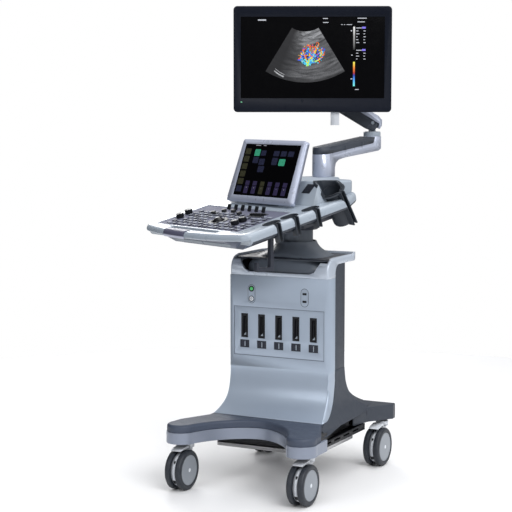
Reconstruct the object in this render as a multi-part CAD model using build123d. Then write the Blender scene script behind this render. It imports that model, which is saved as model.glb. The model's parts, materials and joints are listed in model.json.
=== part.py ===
from build123d import *
import os
from math import cos, hypot, radians, sin

# Ultrasound machine: wheeled base, lift column, swivelling console and a monitor on a jointed arm.
# All sizes in millimetres.  The working frame stands on the floor under the lift axis, +X to the
# right of a user who faces the machine, -Y towards that user, +Z up.  The finished parts are
# shifted so that the origin lies under the middle of the whole machine.

# ---- casters
WHEEL_D = 125.0
TYRE_W = 19.0
WEB_W = 18.0
HUB_D = 94.0
CASTER_TRAIL = 36.0
CASTER_X = 207.0
STEM_Y = {"front": -346.0, "rear": 223.0}
STEM_D = 20.0
AXLE_D = 12.0
RUNNING = 0.1
PEDAL_PIN_D = 5.0

# ---- base
BASE_Z = 150.0
BUMPER_TOP = 185.0
FOOT_TOP = 209.0
LEG_TOP = 200.0
BASE_REAR = 246.0
ARCH = [(-158, -392), (-120, -324), (-64, -272), (0, -250), (64, -272), (120, -324), (158, -392)]
TIP_CENTRE = (205.0, -386.0)
TIP_R = 47.0
FLANK_END = (247.0, -296.0)
ARCH_BACK = -232.0
PLATE_SIDE = [(196, -236), (194, -203), (176, -103), (166, -3), (164, 87), (180, 147), (234, 218),
              (232, BASE_REAR - 6)]

# ---- column
COLUMN_HALF = 171.0
COLUMN_FRONT = -131.0
STRIP_REAR = -76.0
SIDE_REAR = -4.0
COLUMN_REAR = 112.0
REAR_HALF = 110.0
SEAM_LOW = 355.0
SEAM_TOP = 645.0
BAND_BOTTOM = 687.0
BAND_TOP = 709.0
BAND_REAR = 124.0
BROW_R = 45.0
BROW_INNER_R = 28.0
WALL = 3.0
BELL_TOP = 750.0
BELL_D = 126.0
PORT_PITCH = 60.3
PORT_ROW_Z = 484.0
PANEL_HALF = 157.0
PANEL_Z = (390.0, 544.0)
BUTTON_XZ = (-95.0, 571.0)

# ---- lift
MAST_D = 70.0
SLEEVE_D = 80.0
SLEEVE_Z = (400.0, 690.0)
COLLAR_D = 104.0
COLLAR_BORE = 84.0
COLLAR_TOP = 786.0
MAST_TOP = 838.0
ROD_D = 12.0

# ---- console, in its own frame before it is turned about the lift axis
CONSOLE_YAW = -24.7
DECK_TILT = 13.5
DECK_FRONT = (-430.0, 800.0)
DECK_HALF = 266.0
DECK_LENGTH = 500.0
DECK_DEPTH = 36.0
DECK_CORNER_R = 26.0
DECK_RIM_R = 14.0
BAR_DEPTH = 20.0
BAR_BACK = 36.6
PANEL_U = (-226.0, 197.0)
PANEL_V = (44.0, 252.0)
DRAWER_V = (82.0, 272.0)
DRAWER_W = (-70.0, -46.0)
DRAWER_HALF = (152.0, 186.0)
DRAWER_FRONT_TOP = (-150.0, 226.0)
DRAWER_FRONT_LOW = (-108.0, 203.0)
POD_TOP = 950.0
PILLAR_Y = 104.0
PILLAR_BASE = 950.4
PILLAR_PIN_D = 36.0
TOUCH_TILT = 18.9
TOUCH_YZ = (-125.0, 974.0)
TOUCH_SIZE = (318.0, 206.0)
TOUCH_GLASS = (276.0, 170.0)
TOUCH_DEPTH = 16.0
TOUCH_HINGE_YZ = (-131.0, 882.0)
HOOK_XY = (205.5, -270.0)
CORNER_CUP = (215.0, -39.0, 918.0)
CORNER_CUP_TILT = 33.0
TRACKBALL_UV = (0.0, 121.0)
TRACKBALL_D = 40.0
KNOBS_UV = [(-194.0, 115.0), (-207.0, 159.0), (106.0, 105.0), (104.0, 137.0)]
PADDLE_AXIS = (231.0, 2.0)

# ---- arm and monitor
ARM_W = 62.0
ELBOW_XY = (74.5, 432.7)
ELBOW_BASE = 1074.0
ELBOW_PIVOT_Z = 1120.0
ELBOW_PIN_D = 30.0
PITCH_PIN_D = 12.0
HEAD_PIVOT_Z = 1240.0
PAN_BASE_Z = 1272.0
PAN_PIN_D = 20.0
MONITOR_XY = (-52.0, 224.0)
MONITOR_Z = 1331.0
MONITOR_YAW = 27.1
MONITOR_DEPTH = 46.0
TILT_BACK = 66.0
HEAD_BACK = 120.0
SCREEN_SIZE = (476.6, 268.1)
BEZEL_SIZE = (524.0, 349.0)
SCREEN_LIFT = 5.5


def plan_turn(x, y, angle):
    """Turn a plan point about the lift axis."""
    c, s = cos(radians(angle)), sin(radians(angle))
    return (c * x - s * y, s * x + c * y)


def block(x0, x1, y0, y1, z0, z1):
    """A box between two corners."""
    return Pos((x0 + x1) / 2, (y0 + y1) / 2, (z0 + z1) / 2) * Box(x1 - x0, y1 - y0, z1 - z0)


def rod(x, y, z0, z1, d):
    """An upright cylinder."""
    return Pos(x, y, (z0 + z1) / 2) * Cylinder(d / 2, z1 - z0)


def pipe(x, y, z0, z1, outer, bore):
    """An upright tube."""
    return rod(x, y, z0, z1, outer) - rod(x, y, z0 - 1, z1 + 1, bore)


def rod_x(x0, x1, y, z, d):
    """A cylinder along X."""
    return Pos((x0 + x1) / 2, y, z) * Rot(0, 90, 0) * Cylinder(d / 2, x1 - x0)


def prism(points, z0, z1):
    """Extrude a closed plan outline from z0 to z1."""
    face = make_face(Polyline(*[(x, y, z0) for x, y in points], close=True))
    return extrude(face, amount=z1 - z0, dir=(0, 0, 1))


def prism_x(points, x0, x1):
    """Extrude a closed outline in the YZ plane from x0 to x1."""
    face = make_face(Polyline(*[(x0, y, z) for y, z in points], close=True))
    return extrude(face, amount=x1 - x0, dir=(1, 0, 0))


def mirrored(right):
    """A closed symmetric outline from the points of its right half, front to rear."""
    return right + [(-x, y) for x, y in reversed(right)]


def group(shapes):
    """One compound of the solids of several shapes."""
    return Compound([solid for shape in shapes for solid in shape.solids()])


def uprights(shape):
    """The vertical edges of a shape."""
    return shape.edges().filter_by(Axis.Z)


def edges_at(shape, z):
    """The edges that lie in the plane at height z."""
    return [e for e in shape.edges() if abs(e.bounding_box().min.Z - z) < 0.01
            and abs(e.bounding_box().max.Z - z) < 0.01]


# ------------------------------------------------------------------ base

def inset_points(points, inset):
    """Move the points of an open curve to its left by the inset."""
    moved = []
    for i, (x, y) in enumerate(points):
        ax, ay = points[max(i - 1, 0)]
        bx, by = points[min(i + 1, len(points) - 1)]
        length = hypot(bx - ax, by - ay)
        moved.append((x - inset * (by - ay) / length, y + inset * (bx - ax) / length))
    return moved


def front_face(inset, back_points, z):
    """The plan of the front of the base: arch, rounded tips and a back made of straight runs."""
    arch = inset_points(ARCH, inset)
    cx, cy = TIP_CENTRE
    r = TIP_R - inset
    start, middle, end = arch[-1], (cx, cy - r), (cx + r * 0.93, cy + r * 0.36)
    curves = [Spline(*[(x, y, z) for x, y in arch])]
    for side in (1, -1):
        tip = [(side * p[0], p[1], z) for p in (start, middle, end)]
        curves.append(ThreePointArc(*tip))
    back = [end] + [(x - inset, y) for x, y in back_points]
    curves.append(Polyline(*[(x, y, z) for x, y in mirrored(back)]))
    return make_face(Wire([e for c in curves for e in c.edges()]))


def make_bumper():
    """Silver band round the front of the base."""
    face = front_face(0, [FLANK_END, (FLANK_END[0], ARCH_BACK)], BASE_Z)
    core = front_face(8, [FLANK_END, (FLANK_END[0], ARCH_BACK + 10)], BASE_Z - 1)
    band = extrude(face, amount=BUMPER_TOP - BASE_Z, dir=(0, 0, 1))
    band = band - extrude(core, amount=60, dir=(0, 0, 1))
    x, y = FLANK_END
    return band - block(200, 300, y, -200, 140, 240) - block(-300, -200, y, -200, 140, 240)


def foot_solid(inset, z0, z1):
    """The solid under the footrest's top."""
    back = [(246, -335), (192, -215), (192, -204)]
    return extrude(front_face(inset, back, z0), amount=z1 - z0, dir=(0, 0, 1))


def make_footrest():
    """Dark moulded tread over the front legs, hollow underneath."""
    outer = foot_solid(2.0, BUMPER_TOP + 0.2, FOOT_TOP)
    rim = [e for e in edges_at(outer, FOOT_TOP) if e.center().Y < -230]
    outer = fillet(rim, 9)
    return outer - foot_solid(6.0, BUMPER_TOP - 5, FOOT_TOP - 10)


SKIRT = [(355, (171, -131), (171, -60), (171, -4), (110, 112)),
         (320, (171, -132), (171, -60), (171, 4), (112, 114)),
         (290, (171.5, -137), (172, -60), (172, 15), (116, 118)),
         (259, (173, -150), (174, -60), (174, 41), (124, 126)),
         (229, (179, -180), (180, -65), (178, 88), (143, 150)),
         (208, (190, -213), (190, -80), (184, 140), (170, 190)),
         (188, (240, -294), (207, -110), (190, 150), (186, 215))]


def skirt_solid(inset):
    """The flared lower part of the column, from the base to the low seam."""
    faces = []
    for z, *corners in SKIRT:
        right = [(x - inset, y + inset if y < -90 else y - inset * (y > 50)) for x, y in corners]
        faces.append(make_face(Polyline(*[(x, y, z) for x, y in mirrored(right)], close=True)))
    return loft(faces)


def light_region():
    """Everything in front of the line where the light front cover meets the dark side covers."""
    curve = Spline((-300, STRIP_REAR, 322), (-300, -83, 292), (-300, -98, 254), (-300, -130, 226),
                   (-300, -178, 209.5))
    line = Polyline((-300, -178, 209.5), (-300, -400, 209.5), (-300, -400, 720),
                    (-300, STRIP_REAR, 720), (-300, STRIP_REAR, 322))
    face = make_face(Wire([*curve.edges(), *line.edges()]))
    return extrude(face, amount=600, dir=(1, 0, 0))


def column_solid(inset, z0, z1):
    """The straight part of the column."""
    right = [(COLUMN_HALF - inset, COLUMN_FRONT + inset), (COLUMN_HALF - inset, SIDE_REAR - inset / 2),
             (REAR_HALF - inset / 2, COLUMN_REAR - inset)]
    return prism(mirrored(right), z0, z1)


def panel_opening():
    """The opening in the front cover for the port panel."""
    return block(-PANEL_HALF, PANEL_HALF, COLUMN_FRONT - 10, COLUMN_FRONT + 10, *PANEL_Z)


def make_front_cover(skirt, skirt_core, region):
    """Light front cover: straight above, swept forward over the footrest below."""
    upper = column_solid(0, SEAM_LOW, SEAM_TOP) - column_solid(WALL, SEAM_LOW - 1, SEAM_TOP + 1)
    lower = skirt - skirt_core
    cover = (upper + lower) & region
    bx, bz = BUTTON_XZ
    hole = Pos(bx, COLUMN_FRONT, bz) * Rot(90, 0, 0) * Cylinder(7.4, 20)
    return cover - panel_opening() - hole


def make_rear_base_cover(skirt, skirt_core, region):
    """Dark cover round the foot of the column, with the rear legs."""
    leg = [(176, 60), (192, 140), (246, 221), (244, BASE_REAR)]
    legs = prism(mirrored(leg), BASE_Z + 1, LEG_TOP)
    legs = fillet(edges_at(legs, LEG_TOP), 5)
    leg_core = [(170, 50), (172, 64), (188, 142), (240, 222), (238, BASE_REAR - WALL)]
    core = prism(mirrored(leg_core), BASE_Z - 5, LEG_TOP - WALL)
    shell = (skirt + legs) - skirt_core - core - region
    shell = shell - block(-192, 192, -420, -203, BASE_Z, FOOT_TOP + 0.5)
    return shell - foot_solid(-0.4, BASE_Z, FOOT_TOP + 0.5) - block(-300, 300, -420, -296, 140, 400)


def make_column_cover():
    """Dark side and rear cover of the column."""
    shell = column_solid(0, SEAM_LOW + 0.4, BAND_BOTTOM) - column_solid(WALL, SEAM_LOW - 1, 800)
    shell = shell - block(-300, 300, -300, STRIP_REAR + 0.3, 300, 800)
    shell = shell - block(-72, 72, 100, 130, 400, 520) - band_corner(0.4)
    for i in range(9):
        z = 545 + 12 * i
        shell = shell - block(-70, 70, 100, 130, z, z + 5)
    return shell


def brow(inset):
    """Everything behind and below the rounded brow where the front trim turns back into the band."""
    y, z = COLUMN_FRONT + BROW_R, BAND_TOP - BROW_R
    corner = block(-300, 300, y - 60, y, z, z + 60) - rod_x(-301, 301, y, z, 2 * (BROW_R - inset))
    return block(-300, 300, -300, 300, 300, 900) - corner


def band_corner(inset):
    """The rounded inner corner between the side strips and the band, as a prism across the column."""
    y, z = STRIP_REAR + BROW_INNER_R, BAND_BOTTOM - BROW_INNER_R
    square = block(-COLUMN_HALF, COLUMN_HALF, STRIP_REAR - 1, y, z, BAND_BOTTOM + 1)
    return square - rod_x(-301, 301, y, z, 2 * (BROW_INNER_R - inset))


def make_top_trim():
    """Light rim at the top of the column: front wall with a notch, and a band round the tray."""
    outer = [(COLUMN_HALF, COLUMN_FRONT), (COLUMN_HALF, 70), (150, BAND_REAR)]
    inner = [(COLUMN_HALF - 9, COLUMN_FRONT + 12), (COLUMN_HALF - 9, 67), (145, BAND_REAR - 9)]
    band = prism(mirrored(outer), BAND_BOTTOM, BAND_TOP) - prism(mirrored(inner), 600, 800)
    front = block(-COLUMN_HALF, COLUMN_HALF, COLUMN_FRONT, COLUMN_FRONT + 12, SEAM_TOP + 0.5, BAND_TOP)
    sides = [block(x, x + 9, COLUMN_FRONT, STRIP_REAR, SEAM_TOP + 0.5, BAND_BOTTOM + 2)
             for x in (-COLUMN_HALF, COLUMN_HALF - 9)]
    notch_line = [(-146, 712), (-138, 690), (-122, 664), (-104, 657), (104, 657), (122, 664), (138, 690),
                  (146, 712)]
    face = make_face(Polyline(*[(x, COLUMN_FRONT - 5, z) for x, z in notch_line], close=True))
    notch = extrude(face, amount=30, dir=(0, 1, 0))
    webs = band_corner(0) - block(9 - COLUMN_HALF, COLUMN_HALF - 9, -300, 300, 500, 900)
    trim = (band + front + sides[0] + sides[1] + webs - notch) & brow(0)
    corner = [e for e in uprights(trim) if abs(abs(e.center().X) - COLUMN_HALF) < 0.1
              and abs(e.center().Y - COLUMN_FRONT) < 0.1]
    return fillet(corner, 6)


def bell_solid(inset):
    """The bell that rises from the tray to the neck."""
    levels = [(657 - inset, 268, 196, 50), (684, 262, 186, 44), (706, 226, 176, 66), (724, 168, 156, 76),
              (738, 138, 138, 68.5), (BELL_TOP + inset, BELL_D, BELL_D, 62.5)]
    faces = []
    for z, w, d, r in levels:
        shift = -14 * (BELL_TOP - z) / 90 if z < 730 else 0
        sketch = RectangleRounded(w - 2 * inset, d - 2 * inset, r - inset)
        faces.append(Pos(0, shift, z) * sketch)
    return loft([f.face() for f in faces])


def make_bell_cover():
    """Dark top of the column: the bell round the neck and the tray behind it."""
    tray = prism(mirrored([(COLUMN_HALF - 9.4, COLUMN_FRONT + 13), (COLUMN_HALF - 9.4, 66),
                           (144, BAND_REAR - 9.4)]), 697, 702) & brow(4)
    shell = (bell_solid(0) + tray) - bell_solid(2.5)
    return shell - rod(0, 0, 600, 800, COLLAR_D + 1.2)


def make_port_panel():
    """Panel that carries the probe ports, set a little back in the front cover."""
    y = COLUMN_FRONT + 1.6
    panel = block(-PANEL_HALF + 0.4, PANEL_HALF - 0.4, y, y + 3, PANEL_Z[0] + 0.4, PANEL_Z[1] - 0.4)
    for x in port_places():
        panel = panel - block(x - 12, x + 12, y - 5, y + 8, PORT_ROW_Z - 38.5, PORT_ROW_Z + 38.5)
        panel = panel - block(x - 16.5, x + 16.5, y - 5, y + 8, 413, 438)
    return panel


def port_places():
    """The X places of the five probe ports."""
    return [PORT_PITCH * (i - 2) for i in range(5)]


def make_port_sockets():
    """Five probe sockets, each a dark shroud with a slot."""
    sockets = []
    for x in port_places():
        shroud = block(x - 11.6, x + 11.6, COLUMN_FRONT + 0.8, COLUMN_FRONT + 22, PORT_ROW_Z - 38,
                       PORT_ROW_Z + 38)
        slot = block(x - 6, x + 6, COLUMN_FRONT - 2, COLUMN_FRONT + 16, PORT_ROW_Z - 31, PORT_ROW_Z + 31)
        sockets.append(shroud - slot)
    return group(sockets)


def make_port_latches():
    """Five sliding latches, one under each socket, with room to slide to the right."""
    latches = []
    for x in port_places():
        y = COLUMN_FRONT + 1.0
        plate = block(x - 28, x + 17, y + 3.9, y + 14, 410, 441)
        nib = block(x - 12, x + 4, y, y + 4, 416, 435)
        latches.append(plate + nib)
    return group(latches)


def make_power_button():
    """Round power button below the standby lamp."""
    bx, bz = BUTTON_XZ
    cap = Pos(bx, COLUMN_FRONT + 2, bz) * Rot(90, 0, 0) * Cylinder(7.0, 7)
    return cap


def make_base_frame():
    """Welded base plate with caster sockets, four posts and the plate that holds the lift."""
    plan = front_face(8.6, [(FLANK_END[0], -280), (210, ARCH_BACK)], BASE_Z)
    front = extrude(plan, amount=5, dir=(0, 0, 1))
    frame = front + prism(mirrored(PLATE_SIDE), BASE_Z, BASE_Z + 5)
    for y in STEM_Y.values():
        for x in (-CASTER_X, CASTER_X):
            frame = frame + rod(x, y, BASE_Z, BASE_Z + 31, 34)
    for x, y in ((-154, -112), (138, -112), (-104, 84), (88, 84)):
        frame = frame + block(x, x + 16, y, y + 16, BASE_Z, 640)
    frame = frame + block(-154, 154, -112, -96, 624, 640) + block(-104, 104, 84, 100, 624, 640)
    flange = prism(mirrored(PLATE_SIDE), BASE_Z + 4, BUMPER_TOP - 0.5)
    flange = flange - prism(mirrored([(x - WALL, y) for x, y in PLATE_SIDE]), BASE_Z, 200)
    frame = frame + (flange & block(-300, 300, PLATE_SIDE[0][1] + 1, 50, BASE_Z, 200))
    frame = frame + block(-75, 75, -112, 100, 634, 640) - rod(0, 0, 600, 700, COLLAR_D + 6)
    frame = frame + block(-104, 104, 84, 100, 384, 392) + block(-50, 50, -50, 84, 384, 392)
    for y in STEM_Y.values():
        for x in (-CASTER_X, CASTER_X):
            frame = frame - rod(x, y, BASE_Z - 1, BASE_Z + 40, STEM_D + RUNNING)
    return frame


def make_bottom_tray():
    """Dark pan under the base, with cooling slots in its sides."""
    pan = block(-190, 190, -236, 120, 130, BASE_Z)
    pan = pan - block(-186, 186, -232, 116, 134, BASE_Z + 1)
    for i in range(4):
        y = -190 + 70 * i
        pan = pan - block(150, 200, y, y + 46, 138, 144) - block(-200, -150, y, y + 46, 138, 144)
    return pan


def make_power_supply():
    """Bare metal box below the pan."""
    box = block(-172, 172, -222, 66, 110, 129.9)
    return fillet(uprights(box), 4)


def make_electronics_box():
    """Sheet metal card cage inside the column."""
    cage = block(-134, 134, -92, 50, 156, 383.7) - block(-132, 132, -90, 48, 158, 381.7)
    board = block(-134, 134, -108, -56, 383.7, 560) - block(-132, 132, -106, -58, 385.7, 558)
    return cage + board


def make_rear_io_panel():
    """Metal panel at the back with the power inlet and signal sockets."""
    panel = block(-71.6, 71.6, 108, 111, 400.4, 519.6)
    inlet = block(-58, -30, 92, 108, 410, 434)
    panel = panel + inlet - block(-55, -33, 96, 120, 412, 432)
    for x in (-10, 18, 46):
        panel = panel - block(x, x + 20, 100, 120, 414, 424)
    for x in (-50, -20, 10, 40):
        panel = panel - block(x, x + 15, 100, 120, 470, 484)
    return panel


def make_mast_sleeve():
    """Fixed outer tube of the lift, with its foot plate."""
    z0, z1 = SLEEVE_Z
    tube = pipe(0, 0, z0, z1, SLEEVE_D, MAST_D + RUNNING)
    return tube + rod(0, 0, z0 - 8, z0, SLEEVE_D)


def make_gas_rod():
    """Rod and piston of the lift's gas spring."""
    return rod(0, 0, SLEEVE_Z[0], 775, ROD_D) + rod(0, 0, 765, 775, 23.6)


def make_gas_cylinder():
    """Cylinder of the gas spring, under the cap of the mast."""
    body = rod(0, 0, 560, 830, 30) - rod(0, 0, 575, 800, 24)
    return body - rod(0, 0, 550, 580, ROD_D + RUNNING)


def make_lift_mast():
    """Moving tube of the lift, capped at the top."""
    return rod(0, 0, 420, MAST_TOP, MAST_D) - rod(0, 0, 400, 830, 60)


def make_neck_collar():
    """Dark tube that hides the mast."""
    return pipe(0, 0, 500, COLLAR_TOP, COLLAR_D, COLLAR_BORE) + pipe(0, 0, 776, COLLAR_TOP, 90, MAST_D)


def make_fasteners():
    """Socket screws that hold the rear panel."""
    screws = []
    for x in (-66, 66):
        for z in (406, 514):
            head = Pos(x, 112.5, z) * Rot(90, 0, 0) * Cylinder(3.5, 3)
            socket = Pos(x, 113.5, z) * Rot(90, 0, 0) * Cylinder(1.6, 3)
            screws.append(head - socket)
    return screws


# ------------------------------------------------------------------ casters

def make_caster(x, stem_y):
    """A twin-wheel caster: housing with stem, pedal, and the pair of wheels on their axle."""
    axle_y = stem_y - CASTER_TRAIL
    axle_z = WHEEL_D / 2
    half = WEB_W / 2 - 0.5
    web = rod_x(x - half, x + half, axle_y, axle_z, 104)
    neck = [(axle_y - 8, 100), (axle_y + 20, 60), (stem_y + 12, 90), (stem_y + 18, 134),
            (stem_y - 18, 134), (axle_y + 4, 116)]
    web = web + prism_x(neck, x - half, x + half)
    boss = rod(x, stem_y, 127, 143, 42)
    boss = fillet(edges_at(boss, 143), 3)
    lug = block(x - 5, x + 5, stem_y - 27, stem_y - 14, 129, 138)
    housing = web + boss + lug + rod(x, stem_y, 142, 149.4, 33) + rod(x, stem_y, 149, 180, STEM_D)
    housing = housing - rod_x(x - 20, x + 20, axle_y, axle_z, AXLE_D + RUNNING)
    pin_y = stem_y - 23.5
    pin_z = 133.5
    housing = housing - rod_x(x - 20, x + 20, pin_y, pin_z, PEDAL_PIN_D + RUNNING)
    pedal = make_pedal(x, axle_y, pin_y, pin_z)
    wheels = [rod_x(x - WEB_W / 2 - TYRE_W, x + WEB_W / 2 + TYRE_W, axle_y, axle_z, AXLE_D)]
    for side in (-1, 1):
        inner = x + side * (WEB_W / 2)
        outer = x + side * (WEB_W / 2 + TYRE_W)
        lo, hi = min(inner, outer), max(inner, outer)
        tyre = fillet(rod_x(lo, hi, axle_y, axle_z, WHEEL_D).edges().filter_by(GeomType.CIRCLE), 6)
        tyre = tyre - rod_x(lo - 1, hi + 1, axle_y, axle_z, HUB_D)
        hub = rod_x(lo, hi, axle_y, axle_z, HUB_D) - rod_x(lo - 1, hi + 1, axle_y, axle_z, AXLE_D)
        wheels += [tyre, hub]
    return housing, group(wheels), pedal


def make_pedal(x, axle_y, pin_y, pin_z):
    """Brake pedal, hinged on the lug in front of the stem."""
    side = [(pin_y + 1.8, 129.5), (pin_y + 1.8, 137.5), (pin_y - 6, 138.5), (axle_y - 24, 133),
            (axle_y - 36, 127), (axle_y - 36, 125.5), (axle_y - 14, 127.2), (pin_y - 4, 128.2)]
    plate = prism_x(side, x - 17, x + 17)
    plate = plate - block(x - 5.6, x + 5.6, pin_y - 5.5, pin_y + 10, 120, 145)
    return plate + rod_x(x - 16, x + 16, pin_y, pin_z, PEDAL_PIN_D)


# ------------------------------------------------------------------ console

def on_deck(shape):
    """Move a shape from deck coordinates (X, up the slope, square to it) to the console frame."""
    y, z = DECK_FRONT
    return Pos(0, y, z) * Rot(DECK_TILT, 0, 0) * shape


def deck_solid(inset, w0, w1):
    """The console's outline: convex front, straight sides, corners cut off at the back."""
    h = DECK_HALF - inset
    back = DECK_LENGTH - inset
    nose = (h - 18, 16 + inset, w0)
    front = ThreePointArc((-nose[0], nose[1], w0), (0, -12 + inset, w0), nose)
    right = [(h - 18, 16 + inset), (h, 34 + inset / 2), (h, back - 76), (h - 46, back)]
    sides = Polyline(*[(x, y, w0) for x, y in mirrored(right)])
    face = make_face(Wire([*front.edges(), *sides.edges()]))
    return extrude(face, amount=w1 - w0, dir=(0, 0, 1))


def deck_case(grow):
    """The console's outline with rounded corners and rims, grown on all sides."""
    case = deck_solid(-grow, -DECK_DEPTH - grow, grow)
    case = fillet(uprights(case), DECK_CORNER_R)
    return fillet(edges_at(case, grow) + edges_at(case, -DECK_DEPTH - grow), DECK_RIM_R + grow)


def below_bar():
    """The space under the front handle's bar, with the bar's lower edges rounded."""
    bar = fillet(uprights(deck_solid(0, -BAR_DEPTH, 0)), DECK_CORNER_R)
    return block(-300, 300, -60, BAR_BACK, -60, -10) - fillet(edges_at(bar, -BAR_DEPTH), 6)


def oval(u, v, w0, w1, length, width, angle=90.0):
    """An oval post in deck coordinates."""
    return Pos(u, v, w0) * Rot(0, 0, angle) * extrude(SlotOverall(length, width), amount=w1 - w0)


def holder_places():
    """Deck places of the three small probe holders on the right rail."""
    return [(233.0, 145.0), (233.0, 215.0), (233.0, 299.0)]


def cup_frame():
    """Place of the long holder at the back corner, its Z along the cup."""
    return Pos(*CORNER_CUP) * Rot(CORNER_CUP_TILT, 5, 0)


def make_console_deck():
    """Light upper case of the console, with side rails and the bar of the front handle."""
    hollow = deck_solid(9, 4 - DECK_DEPTH, -3) - block(-300, 300, -50, 46, -50, 5)
    case = deck_case(0) - below_bar() - hollow
    case = case - block(*PANEL_U, *PANEL_V, -10, 5) - block(-198, 198, 44, 470, -60, -30)
    case = case - oval(0, 25, -60, 5, 250, 15, 0)
    for u, v in holder_places():
        case = case - oval(u, v, -60, 5, 61, 39) - block(u, 300, v - 9.6, v + 9.6, -60, 5)
    case = on_deck(case)
    return case - cup_frame() * rod(0, 0, -200, 40, 67) - cup_frame() * block(0, 90, -9, 9, -200, 40)


def make_control_panel():
    """Grey-violet control panel, set into the deck."""
    u0, u1 = PANEL_U
    v0, v1 = PANEL_V
    panel = block(u0 + 0.4, u1 - 0.4, v0 + 0.4, v1 - 0.4, -7, -1.5)
    ball_u, ball_v = TRACKBALL_UV
    panel = panel - rod(ball_u, ball_v, -20, 5, TRACKBALL_D + 0.6)
    for ku, kv in KNOBS_UV:
        panel = panel - rod(ku, kv, -20, 5, 8.1)
    panel = panel + block(64, 132, 182, 218, -2, 0.5)
    panel = panel + rod(ball_u, ball_v, -32.3, -29.3, 60) + pipe(ball_u, ball_v, -30, -6.5, 60, 54)
    return on_deck(panel)


def make_trackball():
    """Trackball, held in the panel's cup."""
    u, v = TRACKBALL_UV
    return on_deck(Pos(u, v, -TRACKBALL_D / 2 + 11) * Sphere(TRACKBALL_D / 2))


def make_knob(u, v):
    """Rotary knob on its shaft."""
    cap = rod(u, v, -1.2, 13, 24)
    cap = fillet(edges_at(cap, 13), 2)
    return on_deck(cap + rod(u, v, -12, 0, 8))


def make_paddles():
    """Six toggle paddles in a row below the touch screen."""
    keys = []
    v, w = PADDLE_AXIS
    for i in range(6):
        u = 35.0 * (i - 2.5)
        lever = prism_x([(v - 3, w), (v + 3, w), (v + 9, 14), (v + 5, 16)], u - 6, u + 6)
        keys.append(lever + rod_x(u - 6, u + 6, v, w, 6))
    return on_deck(group(keys))


def make_tgc_sliders():
    """Eight gain sliders over their raised strip on the right of the panel."""
    sliders = []
    for i in range(8):
        u = 68 + 8.0 * i
        sliders.append(block(u, u + 4.4, 192 + i, 201 + i, 0.8, 6))
    return on_deck(group(sliders))


def make_key_caps():
    """The keys of the control panel, as far above it as they travel."""
    keys = []
    for row in range(7):
        for col in range(14):
            u, v = -176 + 27.0 * col, 60 + 21.0 * row
            if key_is_clear(u, v):
                keys.append(block(u - 8, u + 8, v - 5.5, v + 5.5, -0.1, 2.4))
    return on_deck(group(keys))


def key_is_clear(u, v):
    """Whether a key at this place misses the ball, the knobs and the sliders."""
    ball_u, ball_v = TRACKBALL_UV
    if hypot(u - ball_u, v - ball_v) < 42 or (60 < u + 9 and u - 9 < 136 and v > 175):
        return False
    return all(hypot(u - ku, v - kv) > 25 for ku, kv in KNOBS_UV)


def make_console_tray():
    """Dark lower case of the console, with the hub on the lift and the post for the arm."""
    plate = block(-196, 196, 46, 470, -39.6, -DECK_DEPTH - 0.2 + 3)
    pan = block(-204, 204, 284, 478, -62, -36.3) - block(-200, 200, 288, 474, -58, -30)
    runners = [block(x - 4, x + 4, 90, 284, -56, -36.3) for x in (-193, 193)]
    tray = on_deck(plate + pan + runners[0] + runners[1])
    hub = rod(0, 0, COLLAR_TOP + 1, 862, 134)
    post = rod(0, PILLAR_Y, 838, PILLAR_BASE - 0.4, 58) + block(-29, 29, 0, PILLAR_Y, 838, 862)
    tray = tray + hub + post + rod(0, PILLAR_Y, 900, PILLAR_BASE + 48, PILLAR_PIN_D)
    return tray - rod(0, 0, 700, MAST_TOP + 1, MAST_D + RUNNING) - cup_frame() * rod(0, 0, -200, 40, 67)


def make_rear_pod():
    """Light housing behind the touch screen, with the collar under the arm's pillar."""
    plan = [(215, -116), (222, 34), (196, 60), (62, 66), (44, 142)]
    pod = prism(mirrored(plan), 840, POD_TOP)
    pod = pod - prism_x([(-130, 840), (-116, 872), (-90, POD_TOP + 1), (-130, POD_TOP + 1)], -300, 300)
    pod = fillet(edges_at(pod, POD_TOP), 7)
    core_plan = [(212, -113), (219, 33), (194.5, 57), (59, 63), (41, 139)]
    core = prism(mirrored(core_plan), 830, POD_TOP - WALL)
    core = core - prism_x([(-130, 830), (-113, 872), (-86.5, POD_TOP), (-130, POD_TOP + 1)], -300, 300)
    above = on_deck(block(-300, 300, 200, 800, 0.2, 300))
    skirt = block(-46, 46, 60, 143, 862, POD_TOP)
    shell = (pod & (above + skirt)) - core
    shell = shell - rod(0, PILLAR_Y, 800, 1000, 59)
    return shell - cup_frame() * rod(0, 0, -200, 60, 67) - cup_frame() * block(0, 90, -9, 9, -200, 60)


def make_touch_hinge():
    """Two lugs and the pin that carry the touch screen."""
    y, z = TOUCH_HINGE_YZ
    lugs = [block(x - 7, x + 7, y - 7, y + 24, 860, z) + rod_x(x - 7, x + 7, y, z, 14) for x in (-72, 72)]
    lugs = [lug & on_deck(block(-300, 300, 200, 800, 0.2, 300)) for lug in lugs]
    return lugs[0] + lugs[1] + rod_x(-79, 79, y, z, 8)


def in_touch(shape):
    """Move a shape from the touch screen's own frame, Z up its face and -Y out of it."""
    y, z = TOUCH_YZ
    return Pos(0, y, z) * Rot(-TOUCH_TILT, 0, 0) * shape


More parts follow.
